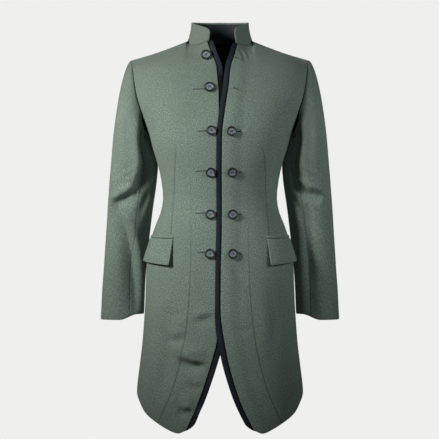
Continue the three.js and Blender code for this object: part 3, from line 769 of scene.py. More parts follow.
# %% Edges
# how deep and how wide the edge rolls in, how high its puckers are, how much cloth is turned up
# inside, and the depths below the shoulders between which the seam sets in, if it starts lower
Edge = namedtuple("Edge", "roll width pucker turned quiet", defaults=(None,))
EDGES = {
    "seam": Edge(roll=0.6, width=1.4, pucker=0.2, turned=0),
    "long seam": Edge(roll=0.6, width=1.4, pucker=0.2, turned=0, quiet=(260, 800)),
    "armhole": Edge(roll=0.5, width=2.2, pucker=0.25, turned=0),
    "edge": Edge(roll=0.45, width=2.6, pucker=0.12, turned=0),
    "hem": Edge(roll=0.5, width=3.4, pucker=0.18, turned=38),
    "top fold": Edge(roll=0.5, width=3.4, pucker=0.18, turned=3),
    "plain": Edge(roll=0.0, width=1.0, pucker=0.0, turned=0),
}
SEWN = ("seam", "long seam", "armhole")
TRIM = 0.3  # how far a rim bulges out, and a free edge is drawn in to make room for it
SEWN_TRIM = 0.08  # how far a sewn edge is drawn in
PUCKER_REACH = 9
LINE_WIDTH = 1.3  # of the painted shadow along a seam


def edge_distances(points):
    """How far each point is from the four edges of its sheet: top, bottom, first and last."""
    down, across = along(points, 0), along(points, 1)
    return {
        "top": down,
        "bottom": down[-1] - down,
        "first": across,
        "last": across[:, -1:] - across,
    }


def rolled(sheet, edges):
    """The sheet with its edges rolled in and puckered, and how near each point is to a seam, which sets
    the painted shadow along it.
    """
    distances = edge_distances(sheet.points)
    down, across = distances["top"], distances["first"]
    moved = np.zeros(down.shape)
    near = np.zeros(down.shape)
    for name, kind in edges.items():
        edge, distance = EDGES[kind], distances[name]
        strength = soft(-sheet.points[..., 2], *edge.quiet) if edge.quiet else 1
        run = down if name in ("first", "last") else across
        puckers = np.sin(run * 0.31 + 1.7 * np.sin(run * 0.043)) * (0.6 + 0.4 * np.sin(run * 0.021))
        moved -= strength * edge.roll * bell(distance, edge.width)
        pucker = edge.pucker * puckers * bell(distance - 3, PUCKER_REACH) * soft(distance, 0, 3)
        moved += strength * pucker
        # only sewn edges get the painted shadow line
        if kind in SEWN:
            near = np.maximum(near, strength * bell(distance, LINE_WIDTH))
    return moved_out(sheet, moved), near


def drawn_in(points, edges):
    """The points with each edge moved in: a free edge by the bulge of its rim, a sewn one less."""
    points = points.copy()
    ways = {
        "top": (np.s_[0], np.s_[1]),
        "bottom": (np.s_[-1], np.s_[-2]),
        "first": (np.s_[:, 0], np.s_[:, 1]),
        "last": (np.s_[:, -1], np.s_[:, -2]),
    }
    for name, kind in edges.items():
        rim, inside = ways[name]
        trim = {"plain": 0}.get(kind, SEWN_TRIM if kind in SEWN else TRIM)
        points[rim] += unit(points[inside] - points[rim]) * trim
    return points


def perimeter(rows, columns):
    """The grid's edge as one loop of (row, column), and the point inside each."""
    loop = [(i, 0) for i in range(rows - 1)] + [(rows - 1, j) for j in range(columns - 1)]
    loop += [(i, columns - 1) for i in range(rows - 1, 0, -1)]
    loop += [(0, j) for j in range(columns - 1, 0, -1)]
    inside = [(min(max(i, 1), rows - 2), min(max(j, 1), columns - 2)) for i, j in loop]
    return np.array(loop), np.array(inside)


# %% Shells
ALL_SIDES = ("top", "bottom", "first", "last")


def keep_sharp(mesh, corners):
    """Keeps the shading from rolling over a seam: its edges are sharp."""
    ends = np.zeros(2 * len(mesh.edges), int)
    mesh.edges.foreach_get("vertices", ends)
    marked = np.zeros(len(mesh.vertices), bool)
    marked[corners] = True
    sharp = marked[ends].reshape(-1, 2).all(-1)
    mesh.attributes.new("sharp_edge", "BOOLEAN", "EDGE").data.foreach_set("value", sharp)


def shell_mesh(name, points, normals, thickness, near, inner_wool, seams):
    """The closed mesh of a shell. Material 0 is outside, and 1 inside."""
    rows, columns = points.shape[:2]
    count = rows * columns
    loop, inside = perimeter(rows, columns)
    outer = points.reshape(-1, 3)
    inner = outer - normals.reshape(-1, 3) * thickness
    on_loop, next_in = loop @ [columns, 1], inside @ [columns, 1]
    middle = (outer[on_loop] + inner[on_loop]) / 2
    away = unit(outer[on_loop] - outer[next_in])
    rim = middle + away * TRIM
    corner = np.arange(count).reshape(rows, columns)
    a, b = corner[:-1, :-1].ravel(), corner[1:, :-1].ravel()
    c, d = corner[1:, 1:].ravel(), corner[:-1, 1:].ravel()
    k = np.arange(len(loop))
    n = (k + 1) % len(loop)
    faces = np.concatenate(
        [
            np.stack([a, b, c, d], -1),
            np.stack([a, d, c, b], -1) + count,
            np.stack([on_loop[n], on_loop[k], 2 * count + k, 2 * count + n], -1),
            np.stack([2 * count + n, 2 * count + k, on_loop[k] + count, on_loop[n] + count], -1),
        ]
    )
    middle_face = points[rows // 2, columns // 2]
    down = points[rows // 2 + 1, columns // 2] - middle_face
    right = points[rows // 2, columns // 2 + 1] - middle_face
    if np.dot(np.cross(down, right), normals[rows // 2, columns // 2]) < 0:
        faces = faces[:, ::-1]
    mesh = bpy.data.meshes.new(name)
    vertices = np.concatenate([outer, inner, rim]) * MM
    mesh.from_pydata(vertices.tolist(), [], faces.tolist())
    slots = np.zeros(len(faces), int)
    turned = inner_wool[:-1, :-1].ravel()
    slots[len(a) : 2 * len(a)] = np.where(turned, 0, 1)
    mesh.polygons.foreach_set("material_index", slots)
    mesh.polygons.foreach_set("use_smooth", np.ones(len(faces), bool))

    grain = np.stack([along(points, 1), -along(points, 0)], -1).reshape(-1, 2) * MM
    grain = np.concatenate([grain, grain, grain[on_loop]])
    corners = np.zeros(len(mesh.loops), int)
    mesh.loops.foreach_get("vertex_index", corners)
    mesh.uv_layers.new(name="grain").data.foreach_set("uv", grain[corners].ravel())
    # how near each point is to painted shadow: a seam, the dart, a fold or a band's shaded part
    seam = mesh.attributes.new("seam", "FLOAT", "POINT")
    near = near.ravel()
    seam.data.foreach_set("value", np.concatenate([near, near, near[on_loop]]).astype(np.float32))
    sides = {"top": corner[0], "bottom": corner[-1], "first": corner[:, 0], "last": corner[:, -1]}
    if seams:
        keep_sharp(mesh, np.concatenate([sides[name] for name in seams]))
    mesh.update()
    return mesh


NARROWEST_CUT = 0.0102  # a welt shows less than it is cut, because it is folded over


def flat_size(points):
    """The width, length and area that a sheet was cut to, in metres."""
    width = along(points, 1)[:, -1].max() * MM
    length = max(along(points, 0)[-1].max() * MM, NARROWEST_CUT)
    down, across = points[1:, :-1] - points[:-1, :-1], points[:-1, 1:] - points[:-1, :-1]
    area = np.linalg.norm(np.cross(down, across), axis=-1).sum() * MM * MM
    return width, length, min(area, width * length)


def placed(obj, node=None):
    """Puts a finished piece on the body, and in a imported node's place if it stands for one."""
    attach(obj, "root")
    if node:
        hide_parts(node)


def cloth_piece(
    node, sheet, side, edges, finish, thickness=CLOTH, marked=0
):
    """Makes one sewn piece of cloth from its sheet. `finish` is its outside and inside material.

    `marked` says where the cloth is in the shadow of a seam or a fold, apart from its sewn edges.
    """
    sheet, near = rolled(sheet, edges)
    near = np.maximum(near, marked)
    distances = edge_distances(sheet.points)
    inner_wool = np.zeros(near.shape, bool)
    for name, kind in edges.items():
        inner_wool |= distances[name] < EDGES[kind].turned
    points = drawn_in(sheet.points, edges)
    flip = np.array([side, 1, 1])
    seams = [name for name, kind in edges.items() if kind in SEWN]
    mesh = shell_mesh(
        f"cloth_{node}", points * flip, sheet.normals * flip, thickness, near, inner_wool, seams
    )
    piece = bpy.data.objects.new(f"cloth_{node}", mesh)
    bpy.context.scene.collection.objects.link(piece)
    for material in finish:
        mesh.materials.append(material)
    width, length, area = flat_size(points)
    print(f"{node}: {width * 1000:.0f} x {length * 1000:.0f} mm, {area:.3f} square metres")
    placed(piece, node)


# %% [markdown]
# ## The finishes
# Brushed wool is spun from fibres dyed in several shades, so its colour is mottled close to, and a
# raised nap hides most of the weave and gives a pale bloom at a low angle. That bloom is the
# shader's sheen. The patterns use the grain map, which is measured along the cloth in metres, so a
# thread has its real size on every piece. The long, soft changes of shade use the object's own
# coordinates, and so run on across the seams.

# %% A small kit for materials
class Finish:
    """A new material with a Principled shader, and short ways to add and join its nodes."""

    def __init__(self, name):
        self.material = bpy.data.materials.new(name)
        self.material.use_nodes = True
        self.nodes = self.material.node_tree.nodes
        self.links = self.material.node_tree.links
        self.shader = self.nodes["Principled BSDF"]
        coordinates = self.nodes.new("ShaderNodeTexCoord")
        self.object, self.grain = coordinates.outputs["Object"], coordinates.outputs["UV"]

    def node(self, kind, inputs=None, **settings):
        made = self.nodes.new(kind)
        for setting, value in settings.items():
            setattr(made, setting, value)
        for socket, value in (inputs or {}).items():
            if isinstance(value, bpy.types.NodeSocket):
                self.links.new(value, made.inputs[socket])
            else:
                made.inputs[socket].default_value = value
        return made

    def noise(self, at, scale, detail=2.0, stretch=(1, 1, 1), turn=0.0, grit=0.5):
        placed_at = self.node(
            "ShaderNodeMapping", {"Vector": at, "Scale": stretch, "Rotation": (0, 0, turn)}
        )
        inputs = {"Vector": placed_at.outputs[0], "Scale": scale, "Detail": detail, "Roughness": grit}
        noise = self.node("ShaderNodeTexNoise", inputs)
        return noise.outputs["Fac"]

    def ramp(self, value, low, high, start=0.0, end=1.0):
        between = {"Value": value, "From Min": low, "From Max": high, "To Min": start, "To Max": end}
        return self.node("ShaderNodeMapRange", between).outputs[0]

    def maths(self, operation, a, b):
        return self.node("ShaderNodeMath", {0: a, 1: b}, operation=operation).outputs[0]

    def blend(self, share, a, b):
        mixed = self.node("ShaderNodeMix", {0: share, 6: a, 7: b}, data_type="RGBA")
        return mixed.outputs[2]

    def bump(self, height, strength, distance, before=None):
        inputs = {"Height": height, "Strength": strength, "Distance": distance}
        if before is not None:
            inputs["Normal"] = before
        return self.node("ShaderNodeBump", inputs).outputs[0]

    def set(self, **values):
        for name, value in values.items():
            socket = self.shader.inputs[name.replace("_", " ")]
            if isinstance(value, bpy.types.NodeSocket):
                self.links.new(value, socket)
            else:
                socket.default_value = value
        return self.material


def shade(red, green, blue):
    """A colour from its screen values, 0 to 255, as Blender mixes it."""
    channels = [c / 255 for c in (red, green, blue)]
    return (*[c / 12.92 if c <= 0.04045 else ((c + 0.055) / 1.055) ** 2.4 for c in channels], 1)


# %% Brushed wool
def brushed_wool():
    f = Finish("brushed_wool")
    broad = f.ramp(f.noise(f.object, 11, 4), 0.34, 0.66)
    mottle = f.ramp(f.noise(f.grain, 340, 6, grit=0.74), 0.35, 0.65)
    streak = f.ramp(f.noise(f.grain, 330, 3, stretch=(1, 0.14, 1), grit=0.6), 0.3, 0.7)
    fleck = f.ramp(f.noise(f.grain, 520, 4, stretch=(1, 0.6, 1), grit=0.7), 0.5, 0.72)
    fibre = f.noise(f.grain, 2300, 2, stretch=(1, 0.22, 1), turn=0.5)
    ground = f.blend(mottle, shade(44, 57, 50), shade(121, 139, 128))
    ground = f.blend(f.maths("MULTIPLY", streak, 0.3), ground, shade(72, 87, 79))
    ground = f.blend(f.maths("MULTIPLY", fleck, 0.75), ground, shade(168, 184, 172))
    ground = f.blend(f.maths("MULTIPLY", broad, 0.34), ground, shade(86, 99, 88))
    height = f.node("ShaderNodeSeparateXYZ", {0: f.object}).outputs["Z"]
    painted_shoulder_shade = f.ramp(height, -0.2, -0.06, 0, 0.45)  # painted shade: the wool darkens towards the tops of the shoulders
    ground = f.blend(painted_shoulder_shade, ground, shade(62, 72, 63))
    # painted shadow: the wool is darker along the sewn seams, the dart and the marked folds
    seam = f.node("ShaderNodeAttribute", attribute_name="seam").outputs["Fac"]
    ground = f.blend(f.maths("MULTIPLY", seam, 0.6), ground, shade(44, 54, 49))
    slanted = f.node("ShaderNodeMapping", {"Vector": f.grain, "Rotation": (0, 0, math.radians(63))})
    ribs = {"Scale": 260.0, "Distortion": 2.5, "Detail": 1.0, "Detail Scale": 3.0}
    twill = f.node("ShaderNodeTexWave", {"Vector": slanted.outputs[0], **ribs}).outputs["Fac"]
    nap = f.bump(fibre, 0.5, 0.0004)
    weave = f.bump(twill, 0.12, 0.0003, before=nap)
    pile = f.bump(mottle, 0.12, 0.0004, before=weave)
    return f.set(
        Base_Color=ground,
        Roughness=f.ramp(fleck, 0, 1, 0.82, 0.97),
        Specular_IOR_Level=0.25,
        Sheen_Weight=0.22,
        Sheen_Roughness=0.45,
        Sheen_Tint=shade(206, 220, 212),
        Normal=pile,
    )


# %% Navy facing and lining
def navy_satin():
    f = Finish("navy_satin")
    broad = f.ramp(f.noise(f.object, 14, 2), 0.3, 0.7)
    thread = f.node(
        "ShaderNodeTexWave",
        {"Vector": f.grain, "Scale": 330.0, "Distortion": 0.6, "Detail": 1.0},
        bands_direction="Y",
    ).outputs["Fac"]
    fibre = f.noise(f.grain, 1500, 2, stretch=(1, 0.2, 1))
    ground = f.blend(broad, shade(19, 24, 31), shade(25, 31, 39))
    ground = f.blend(f.maths("MULTIPLY", fibre, 0.3), ground, shade(38, 45, 54))
    # painted shadow: near black beside the front's fold, and where the left front hangs over the right
    # band
    seam = f.node("ShaderNodeAttribute", attribute_name="seam").outputs["Fac"]
    ground = f.blend(seam, ground, shade(3, 4, 5))
    ribs = f.bump(thread, 0.25, 0.00025)
    return f.set(
        Base_Color=ground,
        Roughness=f.ramp(fibre, 0.3, 0.7, 0.5, 0.66),
        Specular_IOR_Level=0.12,
        Sheen_Weight=0.02,
        Sheen_Tint=shade(120, 140, 170),
        Sheen_Roughness=0.4,
        Normal=f.bump(fibre, 0.3, 0.0002, before=ribs),
    )


def dark_lining():
    f = Finish("dark_lining")
    thread = f.noise(f.grain, 1700, 1, stretch=(0.2, 1, 1))
    broad = f.ramp(f.noise(f.object, 9, 2), 0.3, 0.7)
    ground = f.blend(broad, shade(17, 20, 27), shade(27, 31, 40))
    return f.set(
        Base_Color=ground,
        Roughness=f.ramp(thread, 0.3, 0.7, 0.55, 0.7),
        Specular_IOR_Level=0.14,
        Normal=f.bump(thread, 0.25, 0.0002),
    )


WOOL, NAVY, LINING = brushed_wool(), navy_satin(), dark_lining()
WOOL_LINED, WOOL_FACED, NAVY_ONLY = (WOOL, LINING), (WOOL, NAVY), (NAVY, NAVY)
print("materials:", [m.name for m in bpy.data.materials if m.use_nodes])

# %% [markdown]
# ## Fronts, side fronts and backs
# Each half of the front is drawn as one sheet, creased, and only then parted along the long seam,
# so that a crease can run across it. The two fronts are different: the right one has pulled at its
# hem, and the left one at its neck and buttons. The dart is a seam that starts and ends within its
# piece, so it is pressed in after the rest.

# %% Creases of the front, as (distance from the middle, height)
FRONT_CREASES = {
    "right": [
        Crease([(142, -80), (169, -107), (186, -129), (192, -176)], 2.6, 1.1, 0.2),
        Crease([(104, -782), (70, -795), (34, -800)], 6.5, 9.5, 0.5, 2.4),
        Crease([(110, -754), (74, -766), (36, -770)], 14, -8.5, 0),
        Crease([(64, -694), (40, -688), (12, -682)], 9, 4.6, 0.5, 1.6),
        Crease([(132, -732), (106, -738), (82, -728)], 10, 5.0, 0.5),
        Crease([(76, -668), (104, -676), (128, -672)], 9, 1.6),
        Crease([(84, -840), (62, -850), (36, -846)], 8, 2.6),
        Crease([(100, -900), (82, -908), (66, -908)], 6, 6.5, 0.8, 2.4),
        Crease([(96, -872), (80, -880), (62, -882)], 12, -4.5, 0),
        Crease([(150, -900), (134, -820), (130, -740), (126, -640)], 20, 7.0, 0.5),
        Crease([(16, -640), (40, -610), (62, -570)], 12, 2.0),
        Crease([(140, -196), (158, -222), (164, -262)], 9, 1.5),
        Crease([(98, -378), (120, -388), (140, -386)], 8, 0.9),
        Crease([(86, -430), (112, -424), (138, -428)], 8, 0.7),
        Crease([(36, -384), (56, -392), (70, -390)], 8, 0.6),
    ],
    "left": [
        Crease([(146, -78), (176, -101), (192, -128), (200, -170)], 2.6, 1.1, 0.2),
        Crease([(46, -28), (56, -45), (62, -68)], 4, 1.3),
        Crease([(56, -22), (68, -40), (75, -60)], 4, 1.0),
        Crease([(42, -240), (54, -228), (70, -214)], 5, 1.3),
        Crease([(40, -142), (58, -150), (74, -148)], 5, 0.8),
        Crease([(12, -538), (40, -572), (68, -598)], 11, 2.4),
        Crease([(30, -706), (58, -714), (80, -706)], 7, 1.0),
        Crease([(96, -748), (124, -756)], 8, 0.9),
        Crease([(142, -192), (160, -220), (166, -256)], 9, 1.5),
        Crease([(96, -384), (118, -392), (140, -384)], 8, 0.9),
        Crease([(88, -426), (114, -420), (140, -430)], 8, 0.7),
        Crease([(118, -590), (134, -690), (126, -800)], 14, 1.5, 0.8),
    ],
}
DART_ROLL, DART_WIDTH = 0.8, 1.6


# %% The front and side front
def front_sheet(hand, side):
    points = body_points(side, "front", front_places(side), ROWS)
    axis = xyz(0, 0, np.minimum(points[..., 2], -60))
    sheet = sheet_of(points, axis)
    return creased(sheet, points[..., [0, 2]], FRONT_CREASES[hand])


def with_dart(sheet):
    """The side front with its dart pressed in, and how near each point is to the dart, where a shadow
    line is painted.
    """
    across = along(sheet.points, 1)
    distance = np.abs(across - across[:, DART_COLUMN][:, None])
    z = sheet.points[:, DART_COLUMN, 2][:, None]
    fade = soft(z, -492, -480) * (1 - soft(z, -290, -268))
    dimple = 1.1 * bell(distance, 5) * bell(z + 272, 7)
    pressed = moved_out(sheet, -DART_ROLL * fade * bell(distance, DART_WIDTH) - dimple)
    return pressed, fade * bell(distance, LINE_WIDTH)


fronts = {}
for hand, side in HANDS:
    fronts[hand] = front_sheet(hand, side)
    centre = sliced(fronts[hand], 0, CENTRE_END)
    side_front, dart = with_dart(sliced(fronts[hand], CENTRE_END, len(FRONT_COLUMNS) - 1))
    centre_edges = {"top": "seam", "bottom": "hem", "first": "edge", "last": "long seam"}
    side_edges = {"top": "seam", "bottom": "hem", "first": "long seam", "last": "seam"}
    cloth_piece(f"front_{hand}", centre, side, centre_edges, WOOL_FACED)
    cloth_piece(f"side_front_{hand}", side_front, side, side_edges, WOOL_LINED, marked=dart)

# %% [markdown]
# The back is cut in two halves with a seam down the middle. Below the waist the seam is open, and
# its edges curve away from each other as the fronts do. It has the soft folds of any worn coat:
# across the shoulder blades, in the hollow of the waist and below the arms.

# %% The back
BACK_CREASES = {
    "right": [
        Crease([(150, -92), (176, -130), (186, -180)], 11, 4.0),
        Crease([(40, -372), (76, -384), (118, -380)], 9, 3.2),
        Crease([(30, -414), (66, -420), (108, -412)], 9, 2.6),
        Crease([(130, -210), (148, -260), (150, -310)], 10, 3.0),
        Crease([(30, -60), (70, -66), (112, -58)], 10, 1.8),
        Crease([(96, -560), (110, -680), (118, -800)], 17, 5.0, 0.7),
        Crease([(46, -700), (80, -712), (112, -706)], 8, 0.8),
    ],
    "left": [
        Crease([(152, -94), (178, -134), (187, -176)], 11, 4.2),
        Crease([(34, -380), (72, -388), (116, -386)], 9, 3.0),
        Crease([(44, -422), (76, -424), (112, -418)], 8, 2.2),
        Crease([(132, -214), (150, -266), (148, -318)], 10, 3.2),
        Crease([(36, -56), (72, -64), (108, -60)], 10, 1.6),
        Crease([(100, -556), (116, -670), (114, -790)], 17, 4.6, 0.7),
        Crease([(40, -762), (72, -770), (104, -758)], 8, 0.9),
    ],
}
for hand, side in HANDS:
    points = body_points(side, "back", BACK_COLUMNS, ROWS)
    back = sheet_of(points, xyz(0, 0, np.minimum(points[..., 2], -60)))
    back = creased(back, points[..., [0, 2]], BACK_CREASES[hand])
    edges = {"top": "seam", "bottom": "hem", "first": "seam", "last": "seam"}
    cloth_piece(f"back_{hand}", back, side, edges, WOOL_LINED)

# %% [markdown]
# ## Sleeves
# A coat sleeve is cut in two pieces, a wide one over the arm and a narrow one under it. It hangs
# from the shoulder pad, so its cap is smooth, and it bends at the elbow, so the front is creased
# there. A crease is placed by its angle round the arm and its height.

# %% The two pieces of each sleeve
SLEEVE_CREASES = {
    "right": [
        Crease([(38, -410), (60, -404), (84, -392), (106, -372)], 8.5, 12.0, 0.6, 2.4),
        Crease([(100, -392), (112, -350), (114, -290), (116, -230), (112, -176)], 10, 17.0, 0.35, 2.8),
        Crease(
            [(44, -402), (66, -432), (96, -480), (120, -545), (132, -610), (136, -705)],
            10,
            16.0,
            0.3,
            3.2,
        ),
        Crease([(146, -372), (134, -402), (126, -440)], 9, 4.0),
        Crease([(60, -170), (74, -220), (84, -290)], 12, 1.6, 0.7),
        Crease([(20, -190), (34, -250), (44, -330)], 13, 1.2, 0.7),
        Crease([(-60, -372), (-84, -386), (-110, -384)], 9, 4.5),
        Crease([(-70, -420), (-96, -426)], 9, 3.0),
        Crease([(-40, -180), (-56, -240), (-62, -310)], 14, 4.0, 0.7),
        Crease([(40, -520), (66, -534), (96, -530)], 8, 0.9),
        Crease([(60, -610), (90, -622), (112, -616)], 8, 0.8),
        Crease([(-30, -560), (-60, -572), (-86, -566)], 10, 2.4),
    ],
    "left": [
        Crease([(60, -394), (84, -384), (108, -368), (132, -346)], 8, 11.0, 0.6, 2.4),
        Crease([(104, -384), (112, -340), (112, -280), (114, -220), (112, -172)], 10, 16.0, 0.3, 2.8),
        Crease([(140, -384), (126, -420), (122, -460)], 7, 2.6),
        Crease([(104, -404), (112, -450), (116, -540), (118, -700)], 11, 9.0, 0.3, 1.4),
        Crease([(64, -168), (78, -224), (86, -300)], 12, 1.6, 0.7),
        Crease([(24, -186), (36, -244), (42, -320)], 13, 1.4, 0.7),
        Crease([(-56, -380), (-82, -392), (-108, -388)], 9, 4.2),
        Crease([(-72, -412), (-98, -420)], 9, 3.0),
        Crease([(-44, -176), (-58, -236), (-60, -300)], 14, 3.8, 0.7),
        Crease([(36, -500), (64, -512), (92, -506)], 8, 0.9),
        Crease([(56, -590), (84, -604), (110, -600)], 8, 0.9),
        Crease([(-34, -540), (-62, -556), (-90, -552)], 10, 2.2),
    ],
}
TOP_COLUMNS = crowded(0, SLEEVE_TOP, 84)
UNDER_COLUMNS = crowded(SLEEVE_TOP, SLEEVE_TOP + SLEEVE_UNDER, 36)
SLEEVE_ROWS = np.concatenate(
    [
        SLEEVE_CAP_END * np.linspace(0, 1, 42)[:-1] ** (1 / 1.5),
        np.linspace(SLEEVE_CAP_END, CUFF_END - 0.12, 132),
        [CUFF_END - 0.06, CUFF_END - 0.02, CUFF_END],
    ]
)

for hand, side in HANDS:
    columns = joined(TOP_COLUMNS, UNDER_COLUMNS)
    points = arm_points(columns, SLEEVE_ROWS)
    z = np.minimum(points[..., 2], -60)
    middle = (sleeve_point(z, 0.0) + sleeve_point(z, 180.0)) / 2
    sleeve = sheet_of(points, middle, closed=True)
    degrees = sleeve_angle(columns, 0.7)
    degrees = np.where(degrees > 180, degrees - 360, degrees)
    places = np.stack(np.broadcast_arrays(degrees, points[..., 2]), -1)
    sleeve = creased(sleeve, places, SLEEVE_CREASES[hand])
    edges = {"top": "armhole", "bottom": "hem", "first": "seam", "last": "seam"}
    seam = len(TOP_COLUMNS) - 1
    over, under = sliced(sleeve, 0, seam), sliced(sleeve, seam, len(columns) - 1)
    cloth_piece(f"top_sleeve_{hand}", over, side, edges, WOOL_LINED)
    cloth_piece(f"under_sleeve_{hand}", under, side, edges, WOOL_LINED)

# %% [markdown]
# ## Collar and edge bands
# The stand collar is stiffened, so it has no creases, only a soft roll at its top and its foot. The
# navy bands are doubled cloth: the free edge is a fold, and the other edge lies under the front.
# Where the front's fold lies on a band, and where the left front hangs over the right band, the
# band is in deep shadow, which its seam marks carry.

# %% The collar
collar_rows = np.linspace(1, 0, 26)
points = collar_points(collar_rows)
collar = sheet_of(points, xyz(0, 0, points[..., 2]))
collar = moved_out(collar, 0.5 * unevenness(points) - 0.1)
collar_edges = {"top": "top fold", "bottom": "seam", "first": "edge", "last": "edge"}
cloth_piece("collar", collar, 1, collar_edges, WOOL_LINED, thickness=COLLAR_CLOTH)


# %% The edge bands
BAND_CORNER = 13  # how much of the lower corner is rounded off


def evened(ways, reach=9):
    """Directions down an edge with their sudden turns smoothed out."""
    weights = bell(np.arange(-reach, reach + 1), reach / 2)
    padded = np.pad(ways, ((reach, reach), (0, 0)), mode="edge")
    return unit(np.stack([np.convolve(padded[:, k], weights, "valid") for k in range(3)], -1))


def band_places():
    return joined(np.linspace(-BAND_UNDER, 0, 5), crowded(0, BAND_SHOWS, 14))


def band_sheet(front):
    """A strip along the front's edge: part of it lies under the front, and the rest shows."""
    places = band_places()
    edge, beside = front.points[:, 0], front.points[:, 4]
    away = evened(unit(edge - beside))[:, None]
    under = evened(front.normals[:, 0])[:, None]
    drop = CLOTH + LAYER_GAP + 0.05 * np.maximum(-places, 0)
    showing = np.clip(places / BAND_SHOWS, 0, 1)
    swell = 0.35 * np.sin(np.pi * showing) ** 2
    run = along(edge[:, None].repeat(2, 1), 0)[:, :1]
    ripple = 0.3 * np.sin(run * 0.17 + 2 * np.sin(run * 0.03)) * soft(places, 3, BAND_SHOWS)
    wider = 1 + BAND_WIDENS / BAND_SHOWS * soft(-edge[:, 2], 640, 740)
    shown = places * np.where(places > 0, wider[:, None], 1)
    points = edge[:, None] + away * shown[..., None]
    points = points + under * (swell + ripple * 0.6 - drop - 0.1)[..., None]
    return Sheet(round_corner(points, showing), np.repeat(under, len(places), axis=1))


def round_corner(points, showing):
    """The band's grid with its lower free corner rounded: each column ends a little higher."""
    rounded = points.copy()
    run = along(points, 0)
    for column, share in enumerate(showing):
        length = run[-1, column]
        rise = BAND_CORNER * (1 - math.sqrt(1 - share**2))
        stations = run[:, column] - rise * soft(run[:, column], length - 60, length)
        for k in range(3):
            rounded[:, column, k] = np.interp(stations, run[:, column], points[:, column, k])
    return rounded


for hand, side in HANDS:
    band = band_sheet(fronts[hand])
    # where shadow is painted on the band: beside the front's fold, and under the left front
    beside_fold = soft(-band_places(), -5.5, -1.5)
    depth = -band.points[..., 2]
    under_other = soft(depth, 84, 104) * (1 - soft(depth, 400, 440)) * (hand == "right")
    edges = {"top": "seam", "bottom": "edge", "first": "plain", "last": "edge"}
    cloth_piece(
        f"edge_band_{hand}",
        band,
        side,
        edges,
        NAVY_ONLY,
        thickness=BAND_CLOTH,
        marked=np.maximum(beside_fold, under_other),
    )

# %% [markdown]
# ## Pockets
# Each pocket is a narrow welt with a flap that hangs from under it. The flap is two layers turned
# through, so its edges are rounded and its corners are not quite sharp, and because the hips are
# wider than the waist it stands off the coat at its lower edge.

# %% Welts and flaps
POCKET_FRONT, POCKET_REAR = 51, 86  # angles from the front
POCKET_TOP, POCKET_FALL = -484, 2
WELT, WELT_CLOTH = 6.5, 1.4
FLAP_FRONT, FLAP_REAR, FLAP_SLOPE = 64, 56, 0.32
FLAP_CORNER = 5


def off_front(side, z, angle, off):
    """A point a distance off the front, with its level outward direction."""
    ring = ring_at(z, "front")
    at = girth_point(side, "front", ring, angle)
    beside = unit(girth_point(side, "front", ring, angle + 0.02) - at)
    out = xyz(beside[..., 1], -beside[..., 0], 0 * z)
    return at + out * np.asarray(off)[..., None], out


def pocket_point(side, share, down, off):
    z = POCKET_TOP - POCKET_FALL * (1 - share) - down
    angle = np.radians(mix(POCKET_FRONT, POCKET_REAR, share))
    return off_front(side, z, angle + 0 * z, off)


def welt_sheet(side):
    share, down = np.meshgrid(crowded(0, 1, 40), crowded(0, WELT, 12))
    swell = 0.35 * np.sin(np.pi * down / WELT)
    points, out = pocket_point(side, share, down, POCKET_GAP + WELT_CLOTH - 0.2 + swell)
    return Sheet(points, out)


def flap_sheet(side):
    """The flap: straight sides, corners a little rounded, and a slight swell in its middle."""
    share, t = np.meshgrid(crowded(0, 1, 46), crowded(0, 1, 44))
    top, out = pocket_point(side, share, np.full_like(share, WELT + SEAM_GAP), POCKET_GAP + CLOTH)
    width = along(top, 1)
    from_side = np.minimum(width, width[:, -1:] - width)
    cut = np.maximum(FLAP_CORNER - from_side, 0)
    corner = FLAP_CORNER - np.sqrt(FLAP_CORNER**2 - cut**2)
    fall = t * (mix(FLAP_FRONT, FLAP_REAR, share) - corner)
    points = top + out * (fall * FLAP_SLOPE)[..., None] - xyz(0, 0, fall)
    sheet = sheet_of(points, xyz(0, 0, points[..., 2]))
    swell = 0.9 * np.sin(np.pi * share) * np.sin(np.pi * t) - 0.6 * bell(share - 0.62, 0.2) * t
    return moved_out(sheet, swell - 0.3)


for hand, side in HANDS:
    edge_all = dict.fromkeys(ALL_SIDES, "edge")
    welt_edges = edge_all | {"bottom": "seam"}
    cloth_piece(
        f"pocket_welt_{hand}",
        welt_sheet(side),
        side,
        welt_edges,
        (WOOL, WOOL),
        WELT_CLOTH,
    )
    flap = flap_sheet(side)
    cloth_piece(f"pocket_flap_{hand}", flap, side, edge_all, WOOL_LINED)

# %% [markdown]
# ## Buttons
# The buttons are turned from dark horn: a thick rim round a dished face with four holes. One is
# modelled by hand, from a cylinder whose top is inset and pushed down in steps and then bevelled,
# and the holes are cut with four small cylinders. The copies take their place and tilt from the
# packed buttons.

# %% One button, lying on the floor plan and facing up
BUTTON_RADIUS, BUTTON_HEIGHT = 12.0, 4.4
HOLE_OFF, HOLE_RADIUS = 2.3, 0.95
THREAD = 0.42


def select_top(mesh, within):
    """Selects the upward face nearest the middle."""
    for polygon in mesh.polygons:
        flat = Vector(polygon.center[:2]).length < within * MM
        polygon.select = flat and polygon.normal.z > 0.9
    for part in (mesh.vertices, mesh.edges):
        for item in part:
            item.select = False


